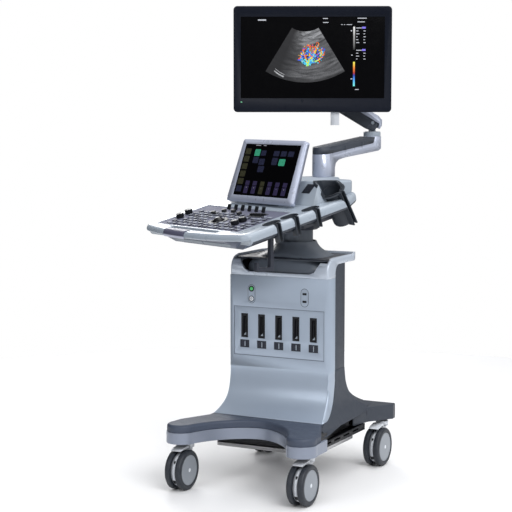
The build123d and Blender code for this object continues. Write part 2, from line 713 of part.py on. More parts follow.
def make_touch_frame():
    """Housing of the touch screen, wider at the bottom, with its hinge barrel."""
    w, h = TOUCH_SIZE
    outline = [(-w / 2 - 6, -h / 2), (w / 2 + 6, -h / 2), (w / 2 - 3, h / 2), (-w / 2 + 3, h / 2)]
    face = make_face(Polyline(*[(x, 0, z) for x, z in outline], close=True))
    slab = extrude(face, amount=TOUCH_DEPTH, dir=(0, 1, 0))
    slab = fillet([e for e in slab.edges() if abs(e.center().Y - TOUCH_DEPTH / 2) < 1], 8)
    gw, gh = TOUCH_GLASS
    slab = slab - block(-gw / 2 - 0.3, gw / 2 + 0.3, -1, 4, -gh / 2 - 0.3 + 3, gh / 2 + 0.3 + 3)
    y, z = TOUCH_HINGE_YZ
    barrel = rod_x(-64, 64, y, z, 14) + block(-60, 60, y - 16, y, z - 5, z + 5)
    cut = in_touch(block(-300, 300, -60, 3, -300, 300))
    return in_touch(slab) + (barrel - cut) - rod_x(-90, 90, y, z, 8 + RUNNING)


def make_touch_glass():
    """Glass of the touch screen."""
    gw, gh = TOUCH_GLASS
    return in_touch(block(-gw / 2, gw / 2, 0.4, 4, -gh / 2 + 3, gh / 2 + 3))


def make_front_grip():
    """Soft grip wrapped round part of the front handle's bar."""
    return on_deck((deck_case(1.6) - deck_case(0)) & block(-122, -6, -60, 15, 0.4 - BAR_DEPTH, 20))


def make_probe_holders():
    """Rubber probe holders: three on the right rail and a long one at the back corner."""
    pieces = []
    for u, v in holder_places():
        ring = oval(u, v, -42, 1.5, 60, 38)
        lip = block(u + 12, 268, v - 9, v + 9, -56, 1.2)
        lip = fillet([e for e in lip.edges() if abs(e.center().X - 268) < 0.1], 3)
        cup = ring + lip - oval(u, v, -60, 5, 50, 28) - block(u, 280, v - 5, v + 5, -60, 5)
        pieces.append(on_deck(cup))
    tube = rod(0, 0, -118, 4, 66)
    tube = fillet(edges_at(tube, -118), 14) + block(20, 50, -8.5, 8.5, -116, 3)
    tube = tube - rod(0, 0, -110, 10, 56) - block(0, 60, -4.5, 4.5, -200, 10)
    pieces.append(cup_frame() * tube)
    return group(pieces)


def make_cable_hook():
    """Hook for the probe cables under the right rail."""
    x, y = HOOK_XY
    stem = block(x - 7.5, x + 7.5, y - 6, y + 6, 694, 820)
    stem = stem & on_deck(block(-300, 300, -50, 600, -300, -DECK_DEPTH - 0.1))
    foot = block(x - 7.5, x + 7.5, y - 56, y + 6, 688, 700)
    return stem + foot + block(x - 7.5, x + 7.5, y - 58, y - 48, 688, 716)


def drawer_front():
    """Sloping front of the drawer, right under the handle's bar, and the floor that carries it."""
    top, low = -BAR_DEPTH - 0.8, -45.0
    left_top, right_top = DRAWER_FRONT_TOP
    left_low, right_low = DRAWER_FRONT_LOW
    outline = [(left_top, 0, top), (right_top, 0, top), (right_low, 0, low), (left_low, 0, low)]
    ends = extrude(make_face(Polyline(*outline, close=True)), amount=60, dir=(0, 1, 0))
    v0 = DRAWER_V[0]
    front = prism_x([(9, top), (33, top), (33, low), (24, low)], left_top, right_top)
    floor = [(28, low), (28, -41), (v0 + 8, -41), (v0 + 8, low - 3), (v0, low - 3), (v0, low)]
    return (front & ends & deck_solid(8, -50, top)) + prism_x(floor, left_low, DRAWER_HALF[0])


def make_keyboard_drawer():
    """Pull-out keyboard tray below the deck."""
    v0, v1 = DRAWER_V
    w0, w1 = DRAWER_W
    low, high = DRAWER_HALF
    section = make_face(Polyline((-low, v0, w0), (low, v0, w0), (high, v0, w1), (-high, v0, w1), close=True))
    tray = extrude(section, amount=v1 - v0, dir=(0, 1, 0))
    tray = tray - block(-low + 4, low - 4, v0 + 8, v1 - 4, w0 + 3, w1 + 5)
    return on_deck(tray + drawer_front())


def make_drawer_keys():
    """The keyboard inside the drawer."""
    v0, w0 = DRAWER_V[0] + 40, DRAWER_W[0] + 3
    keys = block(-144, 144, v0 - 8, v0 + 98, w0 - 1, w0 + 5)
    for row in range(5):
        for col in range(14):
            u, v = -130 + 20.0 * col, v0 + 8 + 19.0 * row
            keys += block(u - 8.5, u + 8.5, v - 8, v + 8, w0 + 4, w0 + 10)
    return on_deck(keys)


# ------------------------------------------------------------------ arm

def arm_plan():
    """World place of the pillar axis, and the plan length and heading of the lower arm."""
    px, py = plan_turn(0, PILLAR_Y, CONSOLE_YAW)
    ex, ey = ELBOW_XY
    return px, py, hypot(ex - px, ey - py), heading(ex - px, ey - py)


def heading(dx, dy):
    """The angle of a plan direction from +X, in degrees."""
    return Vector(1, 0, 0).get_signed_angle(Vector(dx, dy, 0), Vector(0, 0, 1))


def head_axis():
    """World place of the vertical axis of the monitor's head."""
    a = radians(MONITOR_YAW)
    return MONITOR_XY[0] - HEAD_BACK * sin(a), MONITOR_XY[1] + HEAD_BACK * cos(a)


def along_lower(shape):
    """Move a shape whose X runs along the lower arm from the pillar axis."""
    px, py, _, angle = arm_plan()
    return Pos(px, py, 0) * Rot(0, 0, angle) * shape


def side_prism(points, width):
    """Extrude a closed outline in the XZ plane, centred on it."""
    face = make_face(Polyline(*[(x, -width / 2, z) for x, z in points], close=True))
    return extrude(face, amount=width, dir=(0, 1, 0))


def make_lower_arm():
    """Light lower arm: pillar, swept elbow below and a level end under the elbow joint."""
    length = arm_plan()[2]
    end = length + ARM_W / 2
    half = ARM_W / 2
    side = [(-half, PILLAR_BASE), (half, PILLAR_BASE), (half, 980), (38, 995), (56, 1004), (100, 1010),
            (length - 10, 1026), (end - 14, 1036), (end, 1054), (end, 1073.7), (length - 34, 1073.7),
            (length - 46, 1052), (-half, 1022)]
    body = side_prism(side, ARM_W)
    plan = block(0, length, -half, half, 900, 1100)
    body = body & (plan + rod(0, 0, 900, 1100, ARM_W) + rod(length, 0, 900, 1100, ARM_W))
    body = body - rod(0, 0, 900, PILLAR_BASE + 50, PILLAR_PIN_D + RUNNING)
    return along_lower(body - rod(length, 0, ELBOW_BASE - 40, 1100, ELBOW_PIN_D + RUNNING))


def make_lower_arm_cover():
    """Dark cable cover along the top of the lower arm, with two clips."""
    length = arm_plan()[2]
    half = ARM_W / 2
    side = [(-half, 1022.3), (length - 46.5, 1052.3), (length - 34.5, 1073), (-half, 1044)]
    cover = side_prism(side, ARM_W - 1) & (block(0, length, -half, half, 900, 1100)
                                           + rod(0, 0, 900, 1100, ARM_W - 1))
    clips = [block(x, x + 12, -half - 1.5, half + 1.5, z, z + 12) for x, z in ((96, 1036), (210, 1046))]
    return along_lower(cover + clips[0] + clips[1])


def upper_arm_pose():
    """Plan length, heading and rise of the upper arm."""
    ex, ey = ELBOW_XY
    hx, hy = head_axis()
    return hypot(hx - ex, hy - ey), heading(hx - ex, hy - ey), HEAD_PIVOT_Z - ELBOW_PIVOT_Z


def along_upper(shape):
    """Move a shape whose X runs along the upper arm from the elbow's pitch axis."""
    reach, angle, rise = upper_arm_pose()
    tilt = -heading(reach, rise)
    return Pos(*ELBOW_XY, ELBOW_PIVOT_Z) * Rot(0, 0, angle) * Rot(0, tilt, 0) * shape


def upper_arm_length():
    """Distance between the two pitch axes of the upper arm."""
    reach, _, rise = upper_arm_pose()
    return hypot(reach, rise)


def at_elbow(shape):
    """Move a shape to the elbow axis, X towards the head."""
    return Pos(*ELBOW_XY, 0) * Rot(0, 0, upper_arm_pose()[1]) * shape


def make_elbow():
    """Elbow joint: swivel disc with its pin, and the lug with the pitch pin."""
    disc = fillet(edges_at(rod(0, 0, ELBOW_BASE, 1090, 58), 1090), 3)
    pin = rod(0, 0, ELBOW_BASE - 38, ELBOW_BASE + 4, ELBOW_PIN_D)
    lug = block(-11, 11, -11, 11, 1086, ELBOW_PIVOT_Z) + rod_y(0, ELBOW_PIVOT_Z, 11, 22)
    cross = rod_y(0, ELBOW_PIVOT_Z, 22, PITCH_PIN_D)
    return at_elbow(disc + pin + lug + cross)


def rod_y(x, z, half, d):
    """A cylinder along Y, centred on the arm."""
    return Pos(x, 0, z) * Rot(90, 0, 0) * Cylinder(d / 2, 2 * half)


def make_upper_arm():
    """Dark lower body of the upper arm, forked at both ends."""
    length = upper_arm_length()
    side = [(-22, -2), (-16, -24), (10, -28), (length - 14, -24), (length + 8, -20), (length + 16, -6),
            (length + 16, 10), (length - 20, 14), (-20, 8)]
    body = side_prism(side, 48)
    slot = side_prism([(-40, -40), (22, -40), (22, 40), (-40, 40)], 23)
    far = side_prism([(length - 22, -40), (length + 40, -40), (length + 40, 40), (length - 22, 40)], 23)
    body = body - slot - far
    body = body - rod_y(0, 0, 40, PITCH_PIN_D + RUNNING)
    return along_upper(body - rod_y(length, 0, 40, PITCH_PIN_D + RUNNING))


def make_upper_arm_cover():
    """Light cover over the top and the ends of the upper arm."""
    length = upper_arm_length()
    side = [(-31, -6), (-31, 8), (-22, 24), (-4, 30), (length - 52, 28), (length - 30, 21),
            (length - 30, 14.2), (-20.4, 8.4), (-22.6, -2), (-22.6, -6)]
    cover = side_prism(side, 52)
    return along_upper(cover - side_prism([(-60, -30), (14, -30), (14, 12.5), (-60, 12.5)], 24))


def at_head(shape):
    """Move a shape to the head axis, X towards the elbow side of the upper arm."""
    return Pos(*head_axis(), 0) * Rot(0, 0, upper_arm_pose()[1]) * shape


def make_head_link():
    """Levelled head block with its pitch pin and the pan socket."""
    lug = block(-11, 11, -11, 11, HEAD_PIVOT_Z, 1262) + rod_y(0, HEAD_PIVOT_Z, 11, 22)
    block_top = rod(0, 0, 1262, PAN_BASE_Z - 0.3, 44)
    cross = rod_y(0, HEAD_PIVOT_Z, 22, PITCH_PIN_D)
    return at_head(lug + block_top + cross + rod(0, 0, PAN_BASE_Z - 1, PAN_BASE_Z + 30, PAN_PIN_D))


def in_monitor(shape):
    """Move a shape from the monitor's frame, X along it, -Y out of its face, Z up."""
    return Pos(*MONITOR_XY, MONITOR_Z) * Rot(0, 0, MONITOR_YAW) * shape


def make_pan_yoke():
    """Yoke that pans on the head and carries the monitor's tilt axis."""
    z0 = PAN_BASE_Z - MONITOR_Z
    hub = rod(0, HEAD_BACK, z0, z0 + 36, 40)
    web = block(-14, 14, TILT_BACK + 16, HEAD_BACK, z0, z0 + 60)
    cheeks = [block(x - 5, x + 5, TILT_BACK - 10, TILT_BACK + 24, z0 + 32, z0 + 70) for x in (-38, 38)]
    bridge = block(-43, 43, TILT_BACK + 14, TILT_BACK + 24, z0 + 32, z0 + 70)
    yoke = hub + web + cheeks[0] + cheeks[1] + bridge + rod_x(-43, 43, TILT_BACK, -8, 10)
    return in_monitor(yoke - rod(0, HEAD_BACK, z0 - 5, z0 + 31, PAN_PIN_D + RUNNING))


def make_monitor_bezel():
    """Dark front frame of the monitor."""
    w, h = BEZEL_SIZE
    frame = block(-w / 2, w / 2, 0, 14, -h / 2, h / 2)
    frame = fillet([e for e in frame.edges().filter_by(Axis.Y)], 13)
    frame = fillet(frame.edges().filter_by(lambda e: abs(e.center().Y) < 0.01), 2.5)
    sw, sh = SCREEN_SIZE
    window = block(-sw / 2, sw / 2, -5, 20, SCREEN_LIFT - sh / 2, SCREEN_LIFT + sh / 2)
    return in_monitor(frame - window)


def make_monitor_screen():
    """Display panel behind the bezel's window."""
    sw, sh = SCREEN_SIZE
    return in_monitor(block(-sw / 2 + 0.2, sw / 2 - 0.2, 1.6, 13, SCREEN_LIFT - sh / 2 + 0.2,
                            SCREEN_LIFT + sh / 2 - 0.2))


def make_monitor_shell():
    """Rear case of the monitor, with the tilt lugs and the cable outlet below."""
    w, h = BEZEL_SIZE
    levels = [(14.2, w - 4, h - 4, 12), (24, w - 8, h - 8, 16), (38, w - 150, h - 110, 24),
              (MONITOR_DEPTH, w - 190, h - 140, 20)]
    faces = [Pos(0, y, 0) * Rot(90, 0, 0) * RectangleRounded(a, b, r) for y, a, b, r in levels]
    shell = loft([f.face() for f in faces])
    inner = [Pos(0, y, 0) * Rot(90, 0, 0) * RectangleRounded(a, b, r)
             for y, a, b, r in [(14, w - 12, h - 12, 12), (23, w - 16, h - 16, 16),
                                (35, w - 158, h - 118, 24), (43, w - 200, h - 150, 20)]]
    shell = shell - loft([f.face() for f in inner])
    lugs = [block(x - 6, x + 6, MONITOR_DEPTH - 2, TILT_BACK + 9, -17, 1) for x in (-26, 26)]
    shell = shell + lugs[0] + lugs[1] - rod_x(-40, 40, TILT_BACK, -8, 10 + RUNNING)
    outlet = block(62, 90, 14.2, 36, -h / 2 - 43, -h / 2 + 6)
    return in_monitor(shell + outlet - block(66, 86, 18, 32, -h / 2 - 60, -h / 2 + 2))


# ------------------------------------------------------------------ assembly

def console_parts():
    """Every part that turns with the console, in the console's own frame."""
    parts = {
        "console_deck": make_console_deck(),
        "control_panel": make_control_panel(),
        "console_tray": make_console_tray(),
        "rear_pod": make_rear_pod() + make_touch_hinge(),
        "touch_frame": make_touch_frame(),
        "touch_glass": make_touch_glass(),
        "front_grip": make_front_grip(),
        "probe_holders": make_probe_holders(),
        "cable_hook": make_cable_hook(),
        "keyboard_drawer": make_keyboard_drawer() + make_drawer_keys(),
        "key_caps": make_key_caps(),
        "paddles": make_paddles(),
        "tgc_sliders": make_tgc_sliders(),
        "trackball": make_trackball(),
    }
    for i, (u, v) in enumerate(KNOBS_UV):
        parts["knob_%d" % (i + 1)] = make_knob(u, v)
    return {name: Rot(0, 0, CONSOLE_YAW) * shape for name, shape in parts.items()}


def base_parts():
    """Base, column and lift."""
    skirt, core, region = skirt_solid(0), skirt_solid(WALL), light_region()
    return {
        "base_frame": make_base_frame(),
        "bottom_tray": make_bottom_tray(),
        "power_supply": make_power_supply(),
        "base_bumper": make_bumper(),
        "footrest_cover": make_footrest(),
        "rear_base_cover": make_rear_base_cover(skirt, core, region),
        "front_cover": make_front_cover(skirt, core, region),
        "column_cover": make_column_cover(),
        "top_trim": make_top_trim(),
        "bell_cover": make_bell_cover(),
        "port_panel": make_port_panel(),
        "port_sockets": make_port_sockets(),
        "port_latches": make_port_latches(),
        "power_button": make_power_button(),
        "electronics_box": make_electronics_box(),
        "rear_io_panel": group([make_rear_io_panel(), *make_fasteners()]),
        "mast_sleeve": group([make_mast_sleeve(), make_gas_rod()]),
        "gas_cylinder": make_gas_cylinder(),
        "lift_mast": make_lift_mast(),
        "neck_collar": make_neck_collar(),
    }


def caster_parts():
    """The four casters."""
    parts = {}
    for end, y in STEM_Y.items():
        for side, x in (("left", -CASTER_X), ("right", CASTER_X)):
            housing, wheels, pedal = make_caster(x, y)
            tag = end + "_" + side
            parts["caster_" + tag] = housing
            parts["wheels_" + tag] = wheels
            parts["pedal_" + tag] = pedal
    return parts


def arm_parts():
    """The arm, the head and the monitor."""
    return {
        "lower_arm": make_lower_arm(),
        "lower_arm_cover": make_lower_arm_cover(),
        "elbow": make_elbow(),
        "upper_arm": make_upper_arm(),
        "upper_arm_cover": make_upper_arm_cover(),
        "head_link": make_head_link(),
        "pan_yoke": make_pan_yoke(),
        "monitor_shell": make_monitor_shell(),
        "monitor_bezel": make_monitor_bezel(),
        "monitor_screen": make_monitor_screen(),
    }


def build():
    """All parts, shifted so that the origin is under the middle of the machine."""
    parts = {**base_parts(), **caster_parts(), **console_parts(), **arm_parts()}
    boxes = [shape.bounding_box() for shape in parts.values()]
    x = (min(b.min.X for b in boxes) + max(b.max.X for b in boxes)) / 2
    y = (min(b.min.Y for b in boxes) + max(b.max.Y for b in boxes)) / 2
    return {name: Pos(-x, -y, 0) * shape for name, shape in parts.items()}, (x, y)


if __name__ == "__main__":
    os.makedirs("parts", exist_ok=True)
    PARTS, SHIFT = build()
    for NAME, SHAPE in PARTS.items():
        export_step(SHAPE, "parts/" + NAME + ".step")
    print(len(PARTS), "nodes, shifted by", SHIFT)
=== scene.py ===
import json
from math import cos, pi, radians, sin
from random import Random

import bmesh
import bpy
from mathutils import Matrix, Vector
from mathutils.bvhtree import BVHTree


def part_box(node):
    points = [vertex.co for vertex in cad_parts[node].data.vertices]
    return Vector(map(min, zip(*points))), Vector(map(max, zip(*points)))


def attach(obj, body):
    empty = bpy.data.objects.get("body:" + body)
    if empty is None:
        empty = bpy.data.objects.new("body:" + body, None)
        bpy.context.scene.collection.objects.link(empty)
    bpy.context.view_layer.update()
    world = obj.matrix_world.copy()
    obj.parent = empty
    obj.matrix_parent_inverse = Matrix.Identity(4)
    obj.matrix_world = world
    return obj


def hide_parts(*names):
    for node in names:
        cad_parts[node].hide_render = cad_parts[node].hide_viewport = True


# The looks of a wheeled ultrasound machine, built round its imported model.  Metres, row frame:
# +X to the right of a user who faces the machine, -Y towards that user, +Z up.

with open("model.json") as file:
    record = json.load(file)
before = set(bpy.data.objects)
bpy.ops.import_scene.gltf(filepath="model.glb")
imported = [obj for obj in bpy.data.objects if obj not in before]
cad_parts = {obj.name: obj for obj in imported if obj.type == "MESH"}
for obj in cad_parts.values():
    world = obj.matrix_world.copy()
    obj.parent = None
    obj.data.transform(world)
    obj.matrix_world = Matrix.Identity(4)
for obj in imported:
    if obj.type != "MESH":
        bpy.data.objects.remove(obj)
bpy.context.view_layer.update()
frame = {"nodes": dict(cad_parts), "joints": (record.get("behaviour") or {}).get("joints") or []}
JOINTS = {joint["name"]: joint for joint in frame["joints"]}
MM = 0.001
UP = Vector((0, 0, 1))
SHARP_ANGLE = radians(35)


# ------------------------------------------------------------------ local frames

def local_frame(origin, x_axis, z_axis):
    """Matrix of a local frame from its origin, its X and its Z."""
    x = Vector(x_axis).normalized()
    z = Vector(z_axis).normalized()
    y = z.cross(x)
    matrix = Matrix((x, y, z)).transposed().to_4x4()
    matrix.translation = Vector(origin)
    return matrix


def column_frame():
    """Frame of the column: on the floor under the lift axis."""
    x, y, _ = JOINTS["console_swivel"]["pos_m"]
    return Matrix.Translation((x, y, 0))


def console_frame():
    """Frame of the console: on the floor under the lift axis, turned with the console."""
    x, y, _ = JOINTS["console_swivel"]["pos_m"]
    return local_frame((x, y, 0), JOINTS["touch_tilt"]["axis"], (0, 0, 1))


def turned(place, *turns):
    """Matrix that goes to a place and then turns by each (degrees, axis)."""
    matrix = Matrix.Translation(place)
    for degrees, axis in turns:
        matrix = matrix @ Matrix.Rotation(radians(degrees), 4, axis)
    return matrix


DECK_ORIGIN = Vector((0, -0.430, 0.800))
TOUCH_CENTRE = (0, -0.125, 0.974)
TOUCH_LEAN = 18.9
SCREEN_ABOVE_PIN = 0.008
SCREEN_AHEAD_OF_PIN = 0.066
CUP_MOUTH = (0.215, -0.039, 0.918)
CUP_TIPS = ((33, "X"), (5, "Y"))
FRONT_FACE = (0, -0.131, 0)

COLUMN = column_frame()
CONSOLE = console_frame()
CONSOLE_X = JOINTS["touch_tilt"]["axis"]
DECK_NORMAL = JOINTS["knob_turn_1"]["axis"]
DECK = local_frame(CONSOLE @ DECK_ORIGIN, CONSOLE_X, DECK_NORMAL)
TOUCH = CONSOLE @ turned(TOUCH_CENTRE, (90 - TOUCH_LEAN, "X"))
MONITOR_X = Vector(JOINTS["monitor_tilt"]["axis"])
MONITOR_BACK = UP.cross(MONITOR_X)
MONITOR_CENTRE = (Vector(JOINTS["monitor_tilt"]["pos_m"]) + SCREEN_ABOVE_PIN * UP
                  - SCREEN_AHEAD_OF_PIN * MONITOR_BACK)
MONITOR = local_frame(MONITOR_CENTRE, MONITOR_X, -MONITOR_BACK)
CUP = CONSOLE @ turned(CUP_MOUTH, *CUP_TIPS)
FRONT = COLUMN @ turned(FRONT_FACE, (90, "X"))


# ------------------------------------------------------------------ materials

def feed(tree, socket, value):
    """Link a socket to another one's output, or give it a fixed value."""
    if isinstance(value, bpy.types.NodeSocket):
        tree.links.new(value, socket)
    else:
        socket.default_value = value


def fill(tree, node, sockets):
    """Feed a node's sockets by name or number."""
    for key, value in sockets.items():
        feed(tree, node.inputs[key], value)


def add_node(tree, kind, sockets, **settings):
    """Add a shader node, set its properties and feed its sockets."""
    made = tree.nodes.new(kind)
    for key, value in settings.items():
        setattr(made, key, value)
    fill(tree, made, sockets)
    return made


def coordinates(tree, kind):
    """Texture coordinates of one kind."""
    return add_node(tree, "ShaderNodeTexCoord", {}).outputs[kind]


def calculate(tree, operation, a, b):
    """A math node's result."""
    return add_node(tree, "ShaderNodeMath", {0: a, 1: b}, operation=operation).outputs[0]


def new_material(name):
    """A material with its tree and its main shader."""
    material = bpy.data.materials.new(name)
    material.use_nodes = True
    tree = material.node_tree
    return material, tree, tree.nodes["Principled BSDF"]


def rgba(colour, factor=1.0):
    """A colour with full alpha, scaled."""
    return tuple(min(c * factor, 1.0) for c in colour) + (1.0,)


def noise(tree, scale, detail=2.0, rough=0.5, stretch=None):
    """Noise in the part's own coordinates."""
    place = coordinates(tree, "Object")
    if stretch:
        place = add_node(tree, "ShaderNodeMapping", {"Vector": place, "Scale": stretch}).outputs[0]
    made = add_node(tree, "ShaderNodeTexNoise",
                    {"Vector": place, "Scale": scale, "Detail": detail, "Roughness": rough})
    return made.outputs["Fac"]


def remap(tree, value, low, high, to_low, to_high):
    """Clamped linear map of a value."""
    made = add_node(tree, "ShaderNodeMapRange", {"Value": value, "From Min": low, "From Max": high,
                                                 "To Min": to_low, "To Max": to_high})
    return made.outputs["Result"]


def blend(tree, factor, a, b):
    """Mix two colours."""
    made = add_node(tree, "ShaderNodeMix", {"Factor": factor}, data_type="RGBA")
    for name, value in (("A", a), ("B", b)):
        feed(tree, [i for i in made.inputs if i.name == name and i.type == "RGBA"][0], value)
    return [o for o in made.outputs if o.type == "RGBA"][0]


def along(tree, direction, origin):
    """Distance of a surface point from an origin, along a direction of the part's own frame."""
    moved = add_node(tree, "ShaderNodeVectorMath", {0: coordinates(tree, "Object"), 1: tuple(origin)},
                     operation="SUBTRACT")
    dot = add_node(tree, "ShaderNodeVectorMath", {0: moved.outputs[0], 1: tuple(direction)},
                   operation="DOT_PRODUCT")
    return dot.outputs["Value"]


# Scale, detail and roughness of the noises that every moulded surface shares.
PATCHES = (7.0, 4.0, 0.5)
SPECKS = (90.0, 6.0, 0.7)
GLOSS = (40.0, 5.0, 0.6)
DUST = (0.3, 0.3, 0.32, 1.0)
SKIN_HEIGHT = 0.15 * MM


def finish_surface(tree, shader, colour, rough, grain, depth, mottle):
    """Colour variation, roughness variation and fine grain for a moulded or painted surface."""
    patches = remap(tree, noise(tree, *PATCHES), 0.3, 0.7, 0.0, 1.0)
    dust = remap(tree, noise(tree, *SPECKS), 0.45, 0.75, 0.0, 1.0)
    if isinstance(colour, tuple):
        base = blend(tree, patches, rgba(colour, 1.0 - mottle), rgba(colour, 1.0 + mottle))
    else:
        base = colour
    dusty = calculate(tree, "MULTIPLY", dust, mottle * 0.6)
    gloss = remap(tree, noise(tree, *GLOSS), 0.3, 0.7, rough - 0.05, rough + 0.06)
    bump = add_node(tree, "ShaderNodeBump", {"Height": noise(tree, grain, 3.0, 0.6), "Strength": depth,
                                             "Distance": SKIN_HEIGHT})
    fill(tree, shader, {"Base Color": blend(tree, dusty, base, DUST), "Roughness": gloss,
                        "Normal": bump.outputs[0]})


def moulded(name, colour, rough=0.38, grain=900.0, depth=0.25, mottle=0.035, metallic=0.0, coat=0.0,
            shine=0.5):
    """Moulded or painted plastic with a fine skin."""
    material, tree, shader = new_material(name)
    fill(tree, shader, {"Metallic": metallic, "Specular IOR Level": shine, "Coat Weight": coat,
                        "Coat Roughness": 0.12})
    finish_surface(tree, shader, colour, rough, grain, depth, mottle)
    return material


def two_tone(name, low_colour, high_colour, direction, origin, edge):
    """Plastic whose colour changes at a distance along a direction."""
    softness = 0.6 * MM
    material, tree, shader = new_material(name)
    distance = along(tree, direction, origin)
    factor = remap(tree, distance, edge - softness, edge + softness, 0.0, 1.0)
    colour = blend(tree, factor, rgba(low_colour), rgba(high_colour))
    finish_surface(tree, shader, colour, rough=0.4, grain=900.0, depth=0.25, mottle=0.03)
    return material


def metal(name, colour, rough, stretch):
    """Brushed or zinc-plated metal."""
    material, tree, shader = new_material(name)
    brushed = noise(tree, 60.0, 8.0, 0.7, stretch)
    tone = remap(tree, brushed, 0.3, 0.7, 0.0, 1.0)
    bump = add_node(tree, "ShaderNodeBump", {"Height": brushed, "Strength": 0.15, "Distance": 0.0003})
    fill(tree, shader, {"Metallic": 1.0, "Normal": bump.outputs[0],
                        "Base Color": blend(tree, tone, rgba(colour, 0.82), rgba(colour, 1.08)),
                        "Roughness": remap(tree, brushed, 0.3, 0.7, rough - 0.08, rough + 0.1)})
    return material


def glowing(name, colour, strength, flicker=0.15, scale=300.0):
    """A lit mark on a display."""
    material, tree, shader = new_material(name)
    grain = remap(tree, noise(tree, scale, 2.0), 0.3, 0.7, 1.0 - flicker, 1.0 + flicker)
    fill(tree, shader, {"Base Color": rgba(colour, 0.2), "Roughness": 0.25, "Emission Color": rgba(colour),
                        "Emission Strength": calculate(tree, "MULTIPLY", grain, strength)})
    return material


def uv_part(tree, axis):
    """One UV coordinate."""
    return add_node(tree, "ShaderNodeSeparateXYZ", {0: coordinates(tree, "UV")}).outputs[axis]


def ramp(tree, factor, stops):
    """A colour ramp with the given (place, colour) stops."""
    made = add_node(tree, "ShaderNodeValToRGB", {"Fac": factor})
    elements = made.color_ramp.elements
    while len(elements) < len(stops):
        elements.new(0.5)
    for element, (place, colour) in zip(elements, stops):
        element.position = place
        element.color = rgba(colour)
    return made.outputs["Color"]


def light_up(tree, shader, colour, strength, base=(0.01, 0.01, 0.01, 1.0)):
    """Make a near-black display surface glow."""
    fill(tree, shader, {"Base Color": base, "Roughness": 0.3, "Emission Color": colour,
                        "Emission Strength": strength})


def colour_bar(name, stops):
    """Emission along V from a list of colour stops."""
    material, tree, shader = new_material(name)
    light_up(tree, shader, ramp(tree, uv_part(tree, "Y"), stops), 1.0)
    return material


def uv_noise(tree, scale, detail, stretch, distortion=0.0):
    """Noise in UV space."""
    place = add_node(tree, "ShaderNodeMapping", {"Vector": coordinates(tree, "UV"), "Scale": stretch})
    made = add_node(tree, "ShaderNodeTexNoise", {"Vector": place.outputs[0], "Scale": scale,
                                                 "Detail": detail, "Roughness": 0.6,
                                                 "Distortion": distortion})
    return made.outputs["Fac"]


def echo_picture(name):
    """Grey speckle of a scan, in layers across the depth, dark at the left edge."""
    material, tree, shader = new_material(name)
    u, v = uv_part(tree, "X"), uv_part(tree, "Y")
    speckle = remap(tree, uv_noise(tree, 70.0, 3.0, (1.0, 1.6, 1.0)), 0.35, 0.75, 0.35, 1.3)
    layers = remap(tree, uv_noise(tree, 5.0, 4.0, (0.55, 2.6, 1.0), 0.8), 0.36, 0.66, 0.15, 1.25)
    depth = ramp(tree, v, [(0.0, (0.30,) * 3), (0.10, (0.34,) * 3), (0.20, (0.20,) * 3),
                           (0.45, (0.085,) * 3), (0.60, (0.06,) * 3), (0.72, (0.15,) * 3),
                           (0.93, (0.11,) * 3), (1.0, (0.03,) * 3)])
    grey = add_node(tree, "ShaderNodeRGBToBW", {"Color": depth}).outputs[0]
    side = remap(tree, u, 0.14, 0.46, 0.03, 1.0)
    streak = remap(tree, uv_noise(tree, 9.0, 2.0, (0.8, 3.4, 1.0), 1.2), 0.66, 0.74, 0.0, 0.30)
    tissue = calculate(tree, "MULTIPLY", calculate(tree, "MULTIPLY", grey, speckle), layers)
    bright = calculate(tree, "ADD", tissue, calculate(tree, "MULTIPLY", streak, grey))
    level = calculate(tree, "MULTIPLY", calculate(tree, "MULTIPLY", bright, side), 1.5)
    light_up(tree, shader, (0.93, 0.95, 1.0, 1.0), level, base=(0.01, 0.01, 0.012, 1.0))
    return material


def flow_picture(name, stops):
    """Blood-flow colours that change up the vessel tree, broken up by noise."""
    material, tree, shader = new_material(name)
    wander = remap(tree, noise(tree, 130.0, 2.0), 0.3, 0.7, -0.16, 0.16)
    colour = ramp(tree, calculate(tree, "ADD", uv_part(tree, "Y"), wander), stops)
    light_up(tree, shader, colour, remap(tree, noise(tree, 240.0, 3.0), 0.3, 0.7, 0.5, 1.25))
    return material


